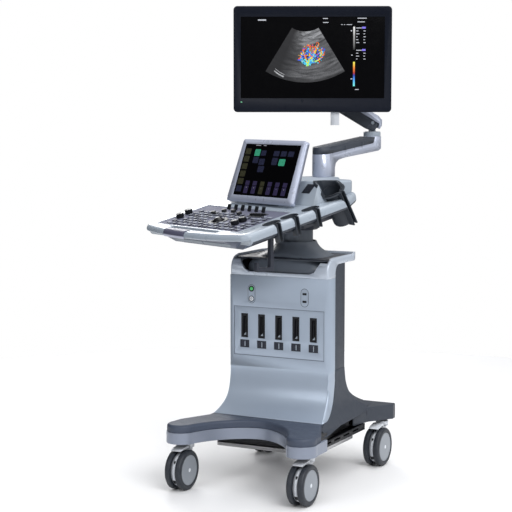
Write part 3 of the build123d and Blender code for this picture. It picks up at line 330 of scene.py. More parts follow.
LOOKS = {
    "light": moulded("light_plastic", (0.40, 0.47, 0.57), rough=0.33, metallic=0.35, coat=0.1, mottle=0.02),
    "rail": moulded("rail_plastic", (0.33, 0.38, 0.44), rough=0.30, coat=0.2, mottle=0.02),
    "trim": moulded("trim_plastic", (0.52, 0.58, 0.67), rough=0.30, metallic=0.2, coat=0.2, mottle=0.02),
    "housing": moulded("housing_plastic", (0.33, 0.38, 0.44), rough=0.42, mottle=0.03),
    "lilac": moulded("lilac_plastic", (0.46, 0.50, 0.62), rough=0.30, metallic=0.2, coat=0.2),
    "drawer": moulded("drawer_paint", (0.11, 0.125, 0.17), rough=0.34, metallic=0.3, mottle=0.02),
    "arm": moulded("arm_paint", (0.47, 0.51, 0.62), rough=0.30, metallic=0.4, coat=0.2, mottle=0.02),
    "slate": moulded("slate_plastic", (0.040, 0.048, 0.064), rough=0.46, grain=1400.0, depth=0.5, shine=0.35),
    "bell": moulded("bell_plastic", (0.12, 0.14, 0.17), rough=0.36, grain=1400.0, depth=0.3, shine=0.4),
    "tread": moulded("tread_rubber", (0.052, 0.066, 0.10), rough=0.5, grain=1800.0, depth=0.8, shine=0.35),
    "bumper": moulded("bumper_paint", (0.24, 0.27, 0.34), rough=0.34, metallic=0.45, coat=0.1, mottle=0.02),
    "black": moulded("black_plastic", (0.008, 0.009, 0.012), rough=0.42, grain=1300.0, depth=0.5, shine=0.3),
    "dark": moulded("dark_plastic", (0.028, 0.032, 0.045), rough=0.4, grain=1100.0, depth=0.4, shine=0.35),
    "panel": moulded("panel_plastic", (0.13, 0.135, 0.19), rough=0.6, grain=1200.0, depth=0.35, shine=0.12),
    "key": moulded("key_plastic", (0.25, 0.27, 0.33), rough=0.55, grain=1500.0, depth=0.2, shine=0.15),
    "key_dark": moulded("dark_key_plastic", (0.04, 0.045, 0.065), rough=0.5, grain=1500.0, depth=0.2,
                        shine=0.15),
    "rubber": moulded("holder_rubber", (0.020, 0.026, 0.036), rough=0.5, grain=2000.0, depth=0.6, shine=0.4),
    "tyre": moulded("tyre_rubber", (0.018, 0.022, 0.030), rough=0.48, grain=1500.0, depth=0.6, mottle=0.1,
                    shine=0.4),
    "disc": moulded("wheel_disc", (0.26, 0.285, 0.32), rough=0.34, metallic=0.2, coat=0.1, mottle=0.02),
    "white": moulded("white_plastic", (0.70, 0.73, 0.78), rough=0.33, coat=0.15, mottle=0.02),
    "bezel": moulded("bezel_plastic", (0.006, 0.008, 0.015), rough=0.32, grain=2200.0, depth=0.1, mottle=0.01,
                     shine=0.12),
    "shell": moulded("shell_plastic", (0.016, 0.019, 0.030), rough=0.45, grain=900.0, depth=0.7, shine=0.35),
    "glass": moulded("display_glass", (0.0015, 0.0015, 0.002), rough=0.2, grain=50.0, depth=0.02, shine=0.06,
                     mottle=0.002),
    "ball": moulded("ball_resin", (0.006, 0.006, 0.008), rough=0.15, grain=80.0, depth=0.03, coat=0.1,
                    shine=0.25),
    "steel": metal("zinc_sheet", (0.55, 0.55, 0.56), 0.34, stretch=(30.0, 1.0, 1.0)),
    "mast": metal("ground_steel", (0.60, 0.61, 0.63), 0.22, stretch=(1.0, 1.0, 40.0)),
    "black_metal": moulded("black_paint", (0.010, 0.011, 0.014), rough=0.5, grain=700.0, depth=0.6),
    "alloy": moulded("cast_alloy_paint", (0.045, 0.050, 0.062), rough=0.4, grain=500.0, depth=0.7,
                     metallic=0.4),
    "seam": moulded("seam_shadow", (0.15, 0.17, 0.22), rough=0.5, mottle=0.02),
    "panel_blue": moulded("drawer_panel", (0.15, 0.185, 0.225), rough=0.36, coat=0.1),
}


# ------------------------------------------------------------------ mesh building

class Shape:
    """Collects the faces of one piece, each with the number of its material."""

    def __init__(self):
        self.verts, self.faces, self.kinds, self.uvs = [], [], [], []

    def add(self, verts, faces, matrix, kind=0, uvs=None):
        """Add vertices and faces, placed by a matrix."""
        start = len(self.verts)
        self.verts += [matrix @ Vector(v) for v in verts]
        self.uvs += uvs or [(0.0, 0.0)] * len(verts)
        self.faces += [[start + i for i in face] for face in faces]
        self.kinds += [kind] * len(faces)

    def prism(self, outline, z0, z1, matrix, kind=0):
        """A flat plate from a closed outline in X and Y, with V along the outline's height."""
        n = len(outline)
        low, high = min(y for _, y in outline), max(y for _, y in outline)
        verts = [(x, y, z0) for x, y in outline] + [(x, y, z1) for x, y in outline]
        faces = [list(range(n))[::-1], list(range(n, 2 * n))]
        faces += [[i, (i + 1) % n, n + (i + 1) % n, n + i] for i in range(n)]
        uvs = [(0.5, (y - low) / max(high - low, 1e-9)) for _, y in outline] * 2
        self.add(verts, faces, matrix, kind, uvs)

    def box(self, x0, x1, y0, y1, z0, z1, matrix, kind=0):
        """A block between two corners."""
        self.prism([(x0, y0), (x1, y0), (x1, y1), (x0, y1)], z0, z1, matrix, kind)

    def lathe(self, profile, matrix, segments=64, kind=0):
        """A closed profile of (radius, height) turned about Z."""
        verts, faces, n = [], [], len(profile)
        for i in range(segments):
            a = 2 * pi * i / segments
            verts += [(r * cos(a), r * sin(a), z) for r, z in profile]
        for i in range(segments):
            j = (i + 1) % segments
            for k in range(n):
                m = (k + 1) % n
                faces.append([i * n + k, j * n + k, j * n + m, i * n + m])
        self.add(verts, faces, matrix, kind)

    def build(self, name, looks, body, slot, bevel=0.0, smooth=True, replaces=()):
        """Make the object, give it its materials, and let it ride on its body."""
        mesh = bpy.data.meshes.new(name)
        mesh.from_pydata(self.verts, [], self.faces)
        for look in looks:
            mesh.materials.append(LOOKS[look] if isinstance(look, str) else look)
        mesh.polygons.foreach_set("material_index", self.kinds)
        layer = mesh.uv_layers.new(name="UVMap")
        for loop in mesh.loops:
            layer.data[loop.index].uv = self.uvs[loop.vertex_index]
        work = bmesh.new()
        work.from_mesh(mesh)
        bmesh.ops.remove_doubles(work, verts=work.verts, dist=1e-7)
        bmesh.ops.recalc_face_normals(work, faces=work.faces)
        work.to_mesh(mesh)
        work.free()
        piece = bpy.data.objects.new(name, mesh)
        bpy.context.scene.collection.objects.link(piece)
        if bevel:
            add_bevel(piece, bevel)
        if smooth:
            shade_smooth(piece)
        if replaces:
            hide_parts(*replaces)
        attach(piece, body)
        return piece


def add_bevel(piece, width):
    """Round the sharp edges."""
    rounding = piece.modifiers.new("edges", "BEVEL")
    rounding.width = width
    rounding.segments = 2
    rounding.limit_method = "ANGLE"
    rounding.angle_limit = SHARP_ANGLE
    rounding.use_clamp_overlap = True


def shade_smooth(piece):
    """Smooth shading with sharp edges kept."""
    for polygon in piece.data.polygons:
        polygon.use_smooth = True
    piece.data.set_sharp_from_angle(angle=SHARP_ANGLE)


def rounded(width, height, radius, cx, cy, steps=6):
    """Outline of a rectangle with rounded corners, round a centre."""
    points = []
    for k, (sx, sy) in enumerate(((1, 1), (-1, 1), (-1, -1), (1, -1))):
        for i in range(steps + 1):
            a = pi / 2 * (k + i / steps)
            points.append((cx + sx * (width / 2 - radius) + radius * cos(a),
                           cy + sy * (height / 2 - radius) + radius * sin(a)))
    return points


def ring_sector(inner, outer, half_angle, columns, rows):
    """Grid over a fan that opens downwards from its apex, with UV across and along it."""
    verts, faces, uvs = [], [], []
    for j in range(rows + 1):
        for i in range(columns + 1):
            u, v = i / columns, j / rows
            a = half_angle * (2 * u - 1)
            r = inner + (outer - inner) * v
            verts.append((r * sin(a), -r * cos(a), 0.0))
            uvs.append((u, v))
    for j in range(rows):
        for i in range(columns):
            k = j * (columns + 1) + i
            faces.append([k, k + columns + 1, k + columns + 2, k + 1])
    return verts, faces, uvs


def ribbon(path, widths):
    """Flat tapering ribbon along a path, with V along it."""
    left, right, n = [], [], len(path)
    for i, (x, y) in enumerate(path):
        ax, ay = path[max(i - 1, 0)]
        bx, by = path[min(i + 1, n - 1)]
        d = Vector((bx - ax, by - ay)).normalized()
        w = widths[0] + (widths[1] - widths[0]) * i / (n - 1)
        left.append((x - d.y * w / 2, y + d.x * w / 2, 0.0))
        right.append((x + d.y * w / 2, y - d.x * w / 2, 0.0))
    verts = [v for pair in zip(left, right) for v in pair]
    faces = [[2 * i, 2 * i + 1, 2 * i + 3, 2 * i + 2] for i in range(n - 1)]
    uvs = [(s, i / (n - 1)) for i in range(n) for s in (0.0, 1.0)]
    return verts, faces, uvs


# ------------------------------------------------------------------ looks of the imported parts

CAD_LOOKS = {
    "base_frame": "black_metal", "bottom_tray": "black", "power_supply": "steel", "base_bumper": "bumper",
    "footrest_cover": "tread", "rear_base_cover": "slate", "front_cover": "light",
    "column_cover": "slate", "top_trim": "trim", "bell_cover": "bell", "port_panel": "light",
    "port_sockets": "black", "port_latches": "dark", "electronics_box": "steel",
    "rear_io_panel": "steel", "mast_sleeve": "mast", "power_button": "white", "gas_cylinder": "mast",
    "lift_mast": "mast", "neck_collar": "bell", "console_deck": "rail", "control_panel": "panel",
    "console_tray": "dark", "rear_pod": "housing", "front_grip": "panel", "probe_holders": "rubber",
    "cable_hook": "dark", "key_caps": "key", "paddles": "black", "tgc_sliders": "black",
    "touch_frame": "lilac", "touch_glass": "glass", "keyboard_drawer": "drawer", "trackball": "ball",
    "lower_arm": "arm", "lower_arm_cover": "slate", "elbow": "rail", "upper_arm": "slate",
    "upper_arm_cover": "arm", "head_link": "alloy", "pan_yoke": "alloy", "monitor_shell": "shell",
    "monitor_bezel": "bezel", "monitor_screen": "glass",
}
EDGE_WIDTHS = {"key_caps": 0.0006, "paddles": 0.001, "tgc_sliders": 0.0006, "cable_hook": 0.003,
               "port_latches": 0.0004, "elbow": 0.0012, "head_link": 0.001, "pan_yoke": 0.001,
               "keyboard_drawer": 0.0008, "control_panel": 0.0004, "base_bumper": 0.0008}


def dress_cad_nodes():
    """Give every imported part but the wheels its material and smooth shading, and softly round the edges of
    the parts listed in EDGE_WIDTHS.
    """
    for name, part in frame["nodes"].items():
        if name.startswith("wheels_"):
            continue
        look = CAD_LOOKS.get(name, "black" if name.startswith("knob_") else "white")
        part.data.materials.clear()
        part.data.materials.append(LOOKS[look])
        shade_smooth(part)
        weld = part.modifiers.new("weld", "WELD")
        weld.merge_threshold = 0.01 * MM
        if name in EDGE_WIDTHS:
            add_bevel(part, EDGE_WIDTHS[name])
        normals = part.modifiers.new("normals", "WEIGHTED_NORMAL")
        normals.keep_sharp = True


def paint_where(node, look, test, matrix):
    """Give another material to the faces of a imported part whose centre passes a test."""
    part = frame["nodes"][node]
    part.data.materials.append(LOOKS[look])
    index = len(part.data.materials) - 1
    inverse = matrix.inverted()
    for polygon in part.data.polygons:
        if test(inverse @ polygon.center):
            polygon.material_index = index


def dress_details():
    """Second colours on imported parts."""
    paint_where("key_caps", "key_dark", lambda p: (round(p.x / 0.027) * 7 + round(p.y / 0.021) * 5) % 11 < 5,
                DECK)
    paint_where("monitor_shell", "white", lambda p: p.y < -0.1765 and p.x > 0.008, MONITOR)
    paint_where("console_deck", "slate", lambda p: p.z < -0.0255 and p.y > 0.04, DECK)
    paint_where("bell_cover", "dark", lambda p: 0.700 < p.z < 0.7035, COLUMN)
    paint_where("control_panel", "black", lambda p: p.z > 0.0004 and 0.06 < p.x < 0.14, DECK)
    grip = two_tone("grip_two_tone", (0.52, 0.54, 0.66), (0.09, 0.09, 0.14), DECK.to_3x3() @ UP,
                    DECK.translation, -12.5 * MM)
    frame["nodes"]["front_grip"].data.materials[0] = grip
    housing = two_tone("caster_two_tone", (0.66, 0.69, 0.74), (0.016, 0.017, 0.021), UP, (0, 0, 0),
                       143.2 * MM)
    for name, part in frame["nodes"].items():
        if name.startswith("caster_"):
            part.data.materials[0] = housing


# ------------------------------------------------------------------ monitor

SCREEN_Z = -1.6 * MM
DISPLAY_UP = 5.5
FAN_APEX = (-24.6, 168.8)
FAN_INNER = 83.5 * MM
FAN_OUTER = 250.7 * MM
FAN_HALF_ANGLE = radians(31.6)
FLOW_SEED = 11
FLOW_BITS = 190


def screen_point(x, y):
    """A place on the display, from millimetres round its centre."""
    return (x * MM, (y + DISPLAY_UP) * MM)


def make_scan():
    """The scan picture: grey fan, vessel tree, bars and plain marks."""
    shape = Shape()
    place = MONITOR @ Matrix.Translation((*screen_point(*FAN_APEX), SCREEN_Z + 0.15 * MM))
    verts, faces, uvs = ring_sector(FAN_INNER, FAN_OUTER, FAN_HALF_ANGLE, 72, 48)
    shape.add(verts, faces, place, 0, uvs)
    shape.build("scan_fan", [echo_picture("scan_grey")], "monitor", "display", smooth=False)
    make_vessels()
    make_flow_fragments()
    make_echo_streak()
    make_screen_bars()
    make_screen_marks()


def make_vessels():
    """Coloured vessel tree over the fan."""
    warm = flow_picture("flow_warm", [(0.0, (0.45, 0.95, 0.10)), (0.25, (0.95, 0.85, 0.05)),
                                      (0.55, (1.0, 0.35, 0.02)), (1.0, (0.75, 0.05, 0.01))])
    cool = flow_picture("flow_cool", [(0.0, (0.30, 0.95, 0.45)), (0.3, (0.05, 0.65, 0.95)),
                                      (0.65, (0.03, 0.15, 0.80)), (1.0, (0.05, 0.05, 0.45))])
    root = (-17, -28)
    trunk = [[root, (-18, -18), (-22, -6), (-27, 8), (-32, 24), (-29, 34)],
             [root, (-14, -14), (-10, 0), (-10, 16), (-8, 34), (-12, 42)],
             [(-16, -14), (-4, -2), (6, 14), (14, 30), (20, 46), (12, 50)],
             [(6, -14), (18, -8), (30, 0), (36, 10), (40, 20)],
             [(-33, 14), (-38, 4), (-44, -4)], [(4, 12), (10, 26), (2, 38)], [(24, 4), (30, 16), (26, 28)]]
    veins = [[root, (-20, -20), (-30, -16), (-40, -8), (-50, -8)], [(-20, -20), (-6, -8), (8, 4), (24, 14)],
             [(-8, -10), (-2, 6), (-14, 20), (-20, 28)], [(-30, -16), (-38, -2), (-34, 10)],
             [(8, 4), (4, 20), (10, 32)], [(24, 14), (34, 20), (40, 30)], [(-16, -22), (-4, -16), (8, -10)]]
    for name, look, paths, widths, lift in (("vessels_cool", cool, veins, (10, 5), 0.25),
                                            ("vessels_warm", warm, trunk, (6, 2.6), 0.35)):
        shape = Shape()
        for path in paths:
            line = [screen_point(x, y) for x, y in smooth_line(path, 5)]
            verts, faces, uvs = ribbon(line, (widths[0] * MM, widths[1] * MM))
            shape.add(verts, faces, MONITOR @ Matrix.Translation((0, 0, SCREEN_Z + lift * MM)), 0, uvs)
        shape.build(name, [look], "monitor", "display", smooth=False)


def make_flow_fragments():
    """Small bits of flow colour in and round the vessel tree."""
    looks = [glowing("bit_red", (0.95, 0.10, 0.02), 0.8), glowing("bit_amber", (1.0, 0.55, 0.05), 0.8),
             glowing("bit_blue", (0.03, 0.12, 0.85), 0.8), glowing("bit_cyan", (0.10, 0.70, 0.95), 0.8),
             glowing("bit_green", (0.40, 0.95, 0.30), 0.8)]
    chance = Random(FLOW_SEED)
    shape = Shape()
    for _ in range(FLOW_BITS):
        angle, reach = chance.uniform(0, 2 * pi), chance.random() ** 0.6
        x = -4 + 43 * reach * cos(angle)
        y = 10 + 36 * reach * sin(angle) + 4.8 * cos(angle)
        warm = chance.random() < 0.35 + 0.012 * (y - 5)
        near_root = y < -8 and abs(x + 14) < 18
        kind = chance.choice((3, 4) if near_root else (0, 0, 1) if warm else (2, 2, 3))
        size, turn, count = chance.uniform(1.2, 3.0), chance.uniform(0, 6), chance.choice((4, 5, 6))
        outline = []
        for k in range(count):
            r = size * chance.uniform(0.6, 1.3)
            outline.append(screen_point(x + r * cos(turn + 2 * pi * k / count),
                                        y + r * sin(turn + 2 * pi * k / count)))
        height = SCREEN_Z + (0.42 + 0.001 * chance.randrange(40)) * MM
        shape.add([(px, py, height) for px, py in outline], [list(range(count))], MONITOR, kind)
    shape.build("flow_bits", looks, "monitor", "display", smooth=False)


def make_echo_streak():
    """Bright reflection at the lower left of the scan."""
    shape = Shape()
    curve = smooth_line([(-127, -43), (-116, -52), (-106, -58), (-96, -63)], 4)
    path = [screen_point(x, y) for x, y in curve]
    for shift, widths in ((0, (3.0, 4.4)), (7, (1.2, 2.0))):
        line = [(x + shift * 0.4 * MM, y + shift * MM) for x, y in path]
        verts, faces, uvs = ribbon(line, (widths[0] * MM, widths[1] * MM))
        shape.add(verts, faces, MONITOR @ Matrix.Translation((0, 0, SCREEN_Z + 0.3 * MM)), 0, uvs)
    shape.build("echo_streak", [glowing("echo_white", (0.75, 0.77, 0.8), 0.4, 0.7, 260.0)], "monitor",
                "display", smooth=False)


def smooth_line(points, steps):
    """Points of a smooth curve through the given ones."""
    line = []
    for i in range(len(points) - 1):
        p0, p1 = Vector(points[max(i - 1, 0)]), Vector(points[i])
        p2, p3 = Vector(points[i + 1]), Vector(points[min(i + 2, len(points) - 1)])
        for k in range(steps):
            t = k / steps
            line.append(tuple(0.5 * (2 * p1 + (p2 - p0) * t + (2 * p0 - 5 * p1 + 4 * p2 - p3) * t * t
                                     + (3 * p1 - p0 - 3 * p2 + p3) * t ** 3)))
    line.append(tuple(points[-1]))
    return line


def make_screen_bars():
    """Grey scale and flow colour scale at the right of the picture."""
    z0, z1 = SCREEN_Z + 0.1 * MM, SCREEN_Z + 0.3 * MM
    grey = colour_bar("grey_scale", [(0.0, (0.0, 0.0, 0.0)), (0.6, (0.35, 0.35, 0.35)),
                                     (1.0, (0.9, 0.9, 0.9))])
    flow = colour_bar("flow_scale", [(0.0, (0.2, 0.95, 0.85)), (0.3, (0.05, 0.3, 0.95)),
                                     (0.46, (0.02, 0.02, 0.35)), (0.54, (0.45, 0.02, 0.01)),
                                     (0.75, (0.95, 0.25, 0.02)), (1.0, (1.0, 0.95, 0.1))])
    shape = Shape()
    for (y0, y1), kind in (((26, 101), 0), ((-94, -14), 1)):
        x, low = screen_point(134, y0)
        high = screen_point(134, y1)[1]
        shape.box(x, x + 6 * MM, low, high, z0, z1, MONITOR, kind)
    shape.build("screen_scales", [grey, flow], "monitor", "display", smooth=False)


def make_screen_marks():
    """Plain dashes where the display has its readings."""
    z0, z1 = SCREEN_Z + 0.1 * MM, SCREEN_Z + 0.22 * MM
    white, blue = glowing("mark_white", (0.75, 0.78, 0.85), 0.55), glowing("mark_blue", (0.25, 0.2, 0.9), 0.8)
    dashes = [(-181, 123, 27, 4), (34, 128, 16, 2.6), (34, 115, 18, 2.6), (148, 129, 30, 2.6),
              (148, 117, 24, 2.6), (94, 108, 5, 2), (103, 108, 4, 2), (112, 108, 18, 2), (141, -105, 12, 2.4),
              (126, 88, 4, 4), (128, 8, 4, 3), (126, -70, 6, 3)]
    for block, count in ((97, 6), (24, 4)):
        dashes.append((144, block, 18, 2.6))
        for i in range(1, count):
            y = block - 9.6 * i
            dashes += [(144, y, 4 + 3 * (i % 3), 2.4), (168, y, 5 + 2 * (i % 2), 2.4)]
    tags = [(163, 98, 12, 6), (163, 25, 12, 6)]
    shape = Shape()
    for kind, rows in enumerate((dashes, tags)):
        for left, centre, width, height in rows:
            x, y = screen_point(left, centre)
            w, h = width * MM, height * MM
            shape.box(x, x + w, y - h / 2, y + h / 2, z0, z1, MONITOR, kind)
    shape.build("screen_marks", [white, blue], "monitor", "display", smooth=False)


def make_monitor_details():
    """Standby lamp at the front and a row of vents at the back."""
    shape = Shape()
    shape.prism(rounded(5 * MM, 1.6 * MM, 0.7 * MM, -236 * MM, -141 * MM), -0.4 * MM, 0.2 * MM, MONITOR)
    shape.build("standby_lamp", [glowing("standby_glow", (0.3, 0.9, 0.5), 1.2)], "monitor", "display")
    back = Shape()
    for i in range(15):
        x = (i - 7) * 11 * MM
        back.prism(rounded(4.5 * MM, 26 * MM, 2.2 * MM, x, 76 * MM), -46.6 * MM, -45.4 * MM, MONITOR)
    back.build("monitor_vents", ["black"], "monitor", "monitor_dark", bevel=0.0002)


# ------------------------------------------------------------------ touch screen

TOUCH_PICTURE = (0.276, 0.170)
TOUCH_UP = 3 * MM


def make_touch_tiles():
    """Plain tiles on the touch screen: (look, left, top, width, height), as shares of the picture."""
    w, h = TOUCH_PICTURE
    kinds = {"green": glowing("tile_green", (0.08, 0.62, 0.36), 0.28, 0.6, 500.0),
             "olive": glowing("tile_olive", (0.11, 0.11, 0.06), 0.12, 0.6, 400.0),
             "violet": glowing("tile_violet", (0.10, 0.08, 0.22), 0.10, 0.6, 400.0),
             "navy": glowing("tile_navy", (0.06, 0.07, 0.16), 0.09, 0.5, 400.0),
             "mark": glowing("tile_mark", (0.6, 0.62, 0.7), 0.28)}
    tiles = [("green", 0.20, 0.10, 0.10, 0.13), ("green", 0.68, 0.27, 0.11, 0.13),
             ("navy", 0.32, 0.12, 0.09, 0.10), ("navy", 0.20, 0.25, 0.10, 0.12),
             ("navy", 0.32, 0.28, 0.10, 0.12), ("navy", 0.33, 0.42, 0.11, 0.12),
             ("navy", 0.55, 0.12, 0.10, 0.10), ("navy", 0.68, 0.12, 0.10, 0.10),
             ("navy", 0.81, 0.12, 0.10, 0.10), ("navy", 0.55, 0.25, 0.10, 0.14),
             ("mark", 0.19, 0.015, 0.09, 0.016), ("mark", 0.33, 0.015, 0.05, 0.016)]
    for i in range(6):
        tiles.append(("olive" if i < 5 else "navy", 0.025, 0.09 + 0.146 * i, 0.10, 0.115))
    for i in range(6):
        u = 0.175 + 0.137 * i
        look = "olive" if i == 2 else "violet"
        tiles += [(look, u, 0.715, 0.075, 0.085), (look, u, 0.81, 0.075, 0.15)]
        tiles.append(("mark", u + 0.03, 0.835, 0.014, 0.02))
    names = list(kinds)
    shape = Shape()
    for look, u, v, tw, th in tiles:
        cx = (u + tw / 2 - 0.5) * w
        cy = (0.5 - v - th / 2) * h + TOUCH_UP
        shape.prism(rounded(tw * w, th * h, min(tw * w, th * h) * 0.12, cx, cy, 3), -0.45 * MM, -0.28 * MM,
                    TOUCH, names.index(look))
    shape.build("touch_tiles", [kinds[n] for n in names], "touch_screen", "touch_glass", smooth=False)


# ------------------------------------------------------------------ column front

LEFT_PLATE = (-95 * MM, 586.5 * MM)
LAMP = (-95 * MM, 603 * MM)
BUTTON = (-95 * MM, 571 * MM)
RIGHT_PLATE = (91 * MM, 584 * MM)
PORTS = 5
PORT_PITCH = 60.3 * MM


def make_front_details():
    """Run lamp, plates round the button and the sockets, and the insides of the five ports."""
    plates = Shape()
    plates.prism(rounded(26 * MM, 60 * MM, 13 * MM, *LEFT_PLATE), -0.2 * MM, 0.35 * MM, FRONT)
    plates.prism(rounded(27 * MM, 58 * MM, 13.4 * MM, *RIGHT_PLATE), -0.2 * MM, 0.35 * MM, FRONT)
    plates.build("front_plates", ["dark"], "base", "light_plastic", bevel=0.0002)
    inner = Shape()
    inner.prism(rounded(23.4 * MM, 57.4 * MM, 11.6 * MM, *LEFT_PLATE), 0.3 * MM, 0.7 * MM, FRONT)
    inner.prism(rounded(24.4 * MM, 55.4 * MM, 12.1 * MM, *RIGHT_PLATE), 0.3 * MM, 0.7 * MM, FRONT)
    inner.build("front_plate_faces", ["light"], "base", "light_plastic", bevel=0.0002)
    dark = Shape()
    for shift in (12 * MM, -12 * MM):
        dark.prism(rounded(14 * MM, 7 * MM, 1.2 * MM, RIGHT_PLATE[0], RIGHT_PLATE[1] + shift), 0.6 * MM,
                   0.9 * MM, FRONT)
    ring = [(5.5 * MM, 0.5 * MM), (9.6 * MM, 0.5 * MM), (9.4 * MM, 1.6 * MM), (8.4 * MM, 2.0 * MM),
            (5.6 * MM, 1.2 * MM)]
    dark.lathe(ring, FRONT @ Matrix.Translation((*LAMP, 0)), 40)
    collar = [(7.4 * MM, 0.5 * MM), (9.6 * MM, 0.5 * MM), (9.3 * MM, 1.3 * MM), (7.6 * MM, 1.0 * MM)]
    dark.lathe(collar, FRONT @ Matrix.Translation((*BUTTON, 0)), 40)
    dark.build("front_dark_rings", ["black"], "base", "black_plastic")
    lamp = Shape()
    dome = [(0.01 * MM, 0.4 * MM), (5.6 * MM, 0.4 * MM), (5.4 * MM, 1.4 * MM), (4.4 * MM, 2.1 * MM),
            (2.4 * MM, 2.7 * MM), (0.01 * MM, 2.9 * MM)]
    lamp.lathe(dome, FRONT @ Matrix.Translation((*LAMP, 0)), 40)
    lamp.build("run_lamp", [glowing("lamp_green", (0.10, 0.60, 0.18), 0.6, 0.4, 160.0)], "base",
               "light_plastic")
    make_port_details()
    make_panel_border()
    make_button_mark()


def make_panel_border():
    """Thin shadow line round the recessed port panel."""
    low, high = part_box("port_panel")
    inverse = FRONT.inverted()
    a, b = inverse @ low, inverse @ high
    x0, x1 = min(a.x, b.x), max(a.x, b.x)
    y0, y1 = min(a.y, b.y), max(a.y, b.y)
    near, across, far = 0.4 * MM, 1.6 * MM, 1.8 * MM
    shape = Shape()
    for left, right, bottom, top in ((x0 - across, x1 + across, y1 + near, y1 + far),
                                     (x0 - across, x1 + across, y0 - far, y0 - near),
                                     (x0 - far, x0 - near, y0 - far, y1 + far),
                                     (x1 + near, x1 + far, y0 - far, y1 + far)):
        shape.box(left, right, bottom, top, -0.6 * MM, 0.35 * MM, FRONT)
    shape.build("panel_border", ["seam"], "base", "light_plastic", bevel=0.0002)


def make_button_mark():
    """Plain ring and bar on the power button."""
    mark = Shape()
    ring = [(2.6 * MM, 1.45 * MM), (3.4 * MM, 1.45 * MM), (3.4 * MM, 1.62 * MM), (2.6 * MM, 1.62 * MM)]
    x, y = BUTTON
    mark.lathe(ring, FRONT @ Matrix.Translation((x, y, 0)), 32)
    mark.box(x - 0.4 * MM, x + 0.4 * MM, y, y + 4.2 * MM, 1.45 * MM, 1.66 * MM, FRONT)
    mark.build("button_mark", ["dark"], "power_key", "black_plastic", smooth=False)


def make_port_details():
    """Contact tongues and guide wedges in the ports, ribs on the latches, and a raised bar at each latch's
    right whose lighter colour is a painted highlight.
    """
    tongues, wedges, ribs_and_painted_highlight = Shape(), Shape(), Shape()
    for i in range(PORTS):
        x = PORT_PITCH * (i - PORTS // 2)
        tongues.box(x - 1.6 * MM, x + 1.6 * MM, 457 * MM, 511 * MM, -14.8 * MM, -5.0 * MM, FRONT, 0)
        for k in range(12):
            y = (460 + 4.2 * k) * MM
            tongues.box(x - 1.9 * MM, x + 1.9 * MM, y, y + 1.6 * MM, -14.5 * MM, -5.6 * MM, FRONT, 1)
        wedges.prism([(x - 4 * MM, 453.4 * MM), (x + 4.6 * MM, 453.4 * MM), (x + 4.6 * MM, 462 * MM)],
                     -9.0 * MM, -2.4 * MM, FRONT)
        for k in range(5):
            y = (418 + 3.4 * k) * MM
            ribs_and_painted_highlight.prism(rounded(9.5 * MM, 1.5 * MM, 0.6 * MM, x - 6.0 * MM, y, 2), -1.1 * MM, -0.4 * MM,
                       FRONT, 0)
        # The bar at the latch's right is a real raised edge, coloured lighter as a painted highlight.
        ribs_and_painted_highlight.prism(rounded(2.6 * MM, 17 * MM, 0.8 * MM, x + 1.6 * MM, 425.5 * MM, 2), -1.1 * MM, -0.5 * MM,
                   FRONT, 1)
    tongues.build("port_tongues", ["black", "dark"], "base", "black_plastic", smooth=False)
    wedges.build("port_wedges", ["housing"], "base", "light_plastic", bevel=0.0003)
    ribs_and_painted_highlight.build("latch_ribs_and_painted_highlight", ["key_dark", "rail"], "latches", "black_plastic", smooth=False)


# ------------------------------------------------------------------ casters

TYRE_PROFILE = [(46.8, 9.2), (59.5, 9.2), (61.6, 10.6), (62.45, 13.5), (62.45, 21.5), (61.4, 24.6),
                (58.6, 26.9), (54.0, 27.9), (48.6, 27.9), (46.8, 26.8)]
DISC_PROFILE = [(6.2, 10.0), (46.5, 10.0), (46.5, 26.6), (45.4, 27.4), (43.2, 27.5), (42.2, 26.9),
                (41.2, 26.9), (24.0, 27.5), (10.0, 27.8), (6.2, 27.8)]
CAP_PROFILE = [(0.02, 26.0), (6.1, 26.0), (6.1, 27.8), (0.02, 27.9)]
SLOT_OUTLINE = [(0, -6), (2.6, -1), (3.4, 3), (2.2, 5.6), (-2.2, 5.6), (-3.4, 3), (-2.6, -1)]
BLOCK_OUTLINE = [(-6.4, -7), (6.4, -7), (6.4, 7), (-6.4, 7)]


def make_wheels(tag):
    """Twin wheels: soft tyres, dished discs and caps, on one axle."""
    low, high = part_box("wheels_" + tag)
    centre = (low + high) / 2
    shape = Shape()
    for side in (1, -1):
        turn = Matrix.Translation(centre) @ Matrix.Rotation(side * pi / 2, 4, "Y")
        for kind, profile in enumerate((TYRE_PROFILE, DISC_PROFILE, CAP_PROFILE)):
            shape.lathe([(r * MM, x * MM) for r, x in profile], turn, 72, kind)
    axle = Matrix.Translation(centre) @ Matrix.Rotation(pi / 2, 4, "Y")
    rod = [(0.02 * MM, -12 * MM), (6 * MM, -12 * MM), (6 * MM, 12 * MM), (0.02 * MM, 12 * MM)]
    shape.lathe(rod, axle, 24, 3)
    shape.build("wheel_pair_" + tag, ["tyre", "disc", "white", "mast"], "wheels_" + tag, "tyre",
                replaces=("wheels_" + tag,))


def make_caster_details(tag):
    """Dark slot in the front of the caster's web, and the brake block below it."""
    low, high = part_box("wheels_" + tag)
    centre = (low + high) / 2
    shape = Shape()
    for angle, outline in ((34, SLOT_OUTLINE), (-38, BLOCK_OUTLINE)):
        out = Vector((0, -cos(radians(angle)), sin(radians(angle))))
        face = local_frame(centre + 52 * MM * out, (1, 0, 0), out)
        shape.prism([(x * MM, y * MM) for x, y in outline], -1.0 * MM, 0.5 * MM, face)
    shape.build("web_slot_" + tag, ["black"], "caster_" + tag, "black_plastic", bevel=0.0003)


# ------------------------------------------------------------------ console details

def sloping_face(matrix, low, high, start):
    """Frame on a face that slopes from a low to a high point, with its origin part way up it."""
    slope = (high - low).normalized()
    rotation = matrix.to_3x3()
    out = Vector((0, -slope.z, slope.y))
    return local_frame(matrix @ (low + slope * start), rotation @ Vector((1, 0, 0)), rotation @ out)


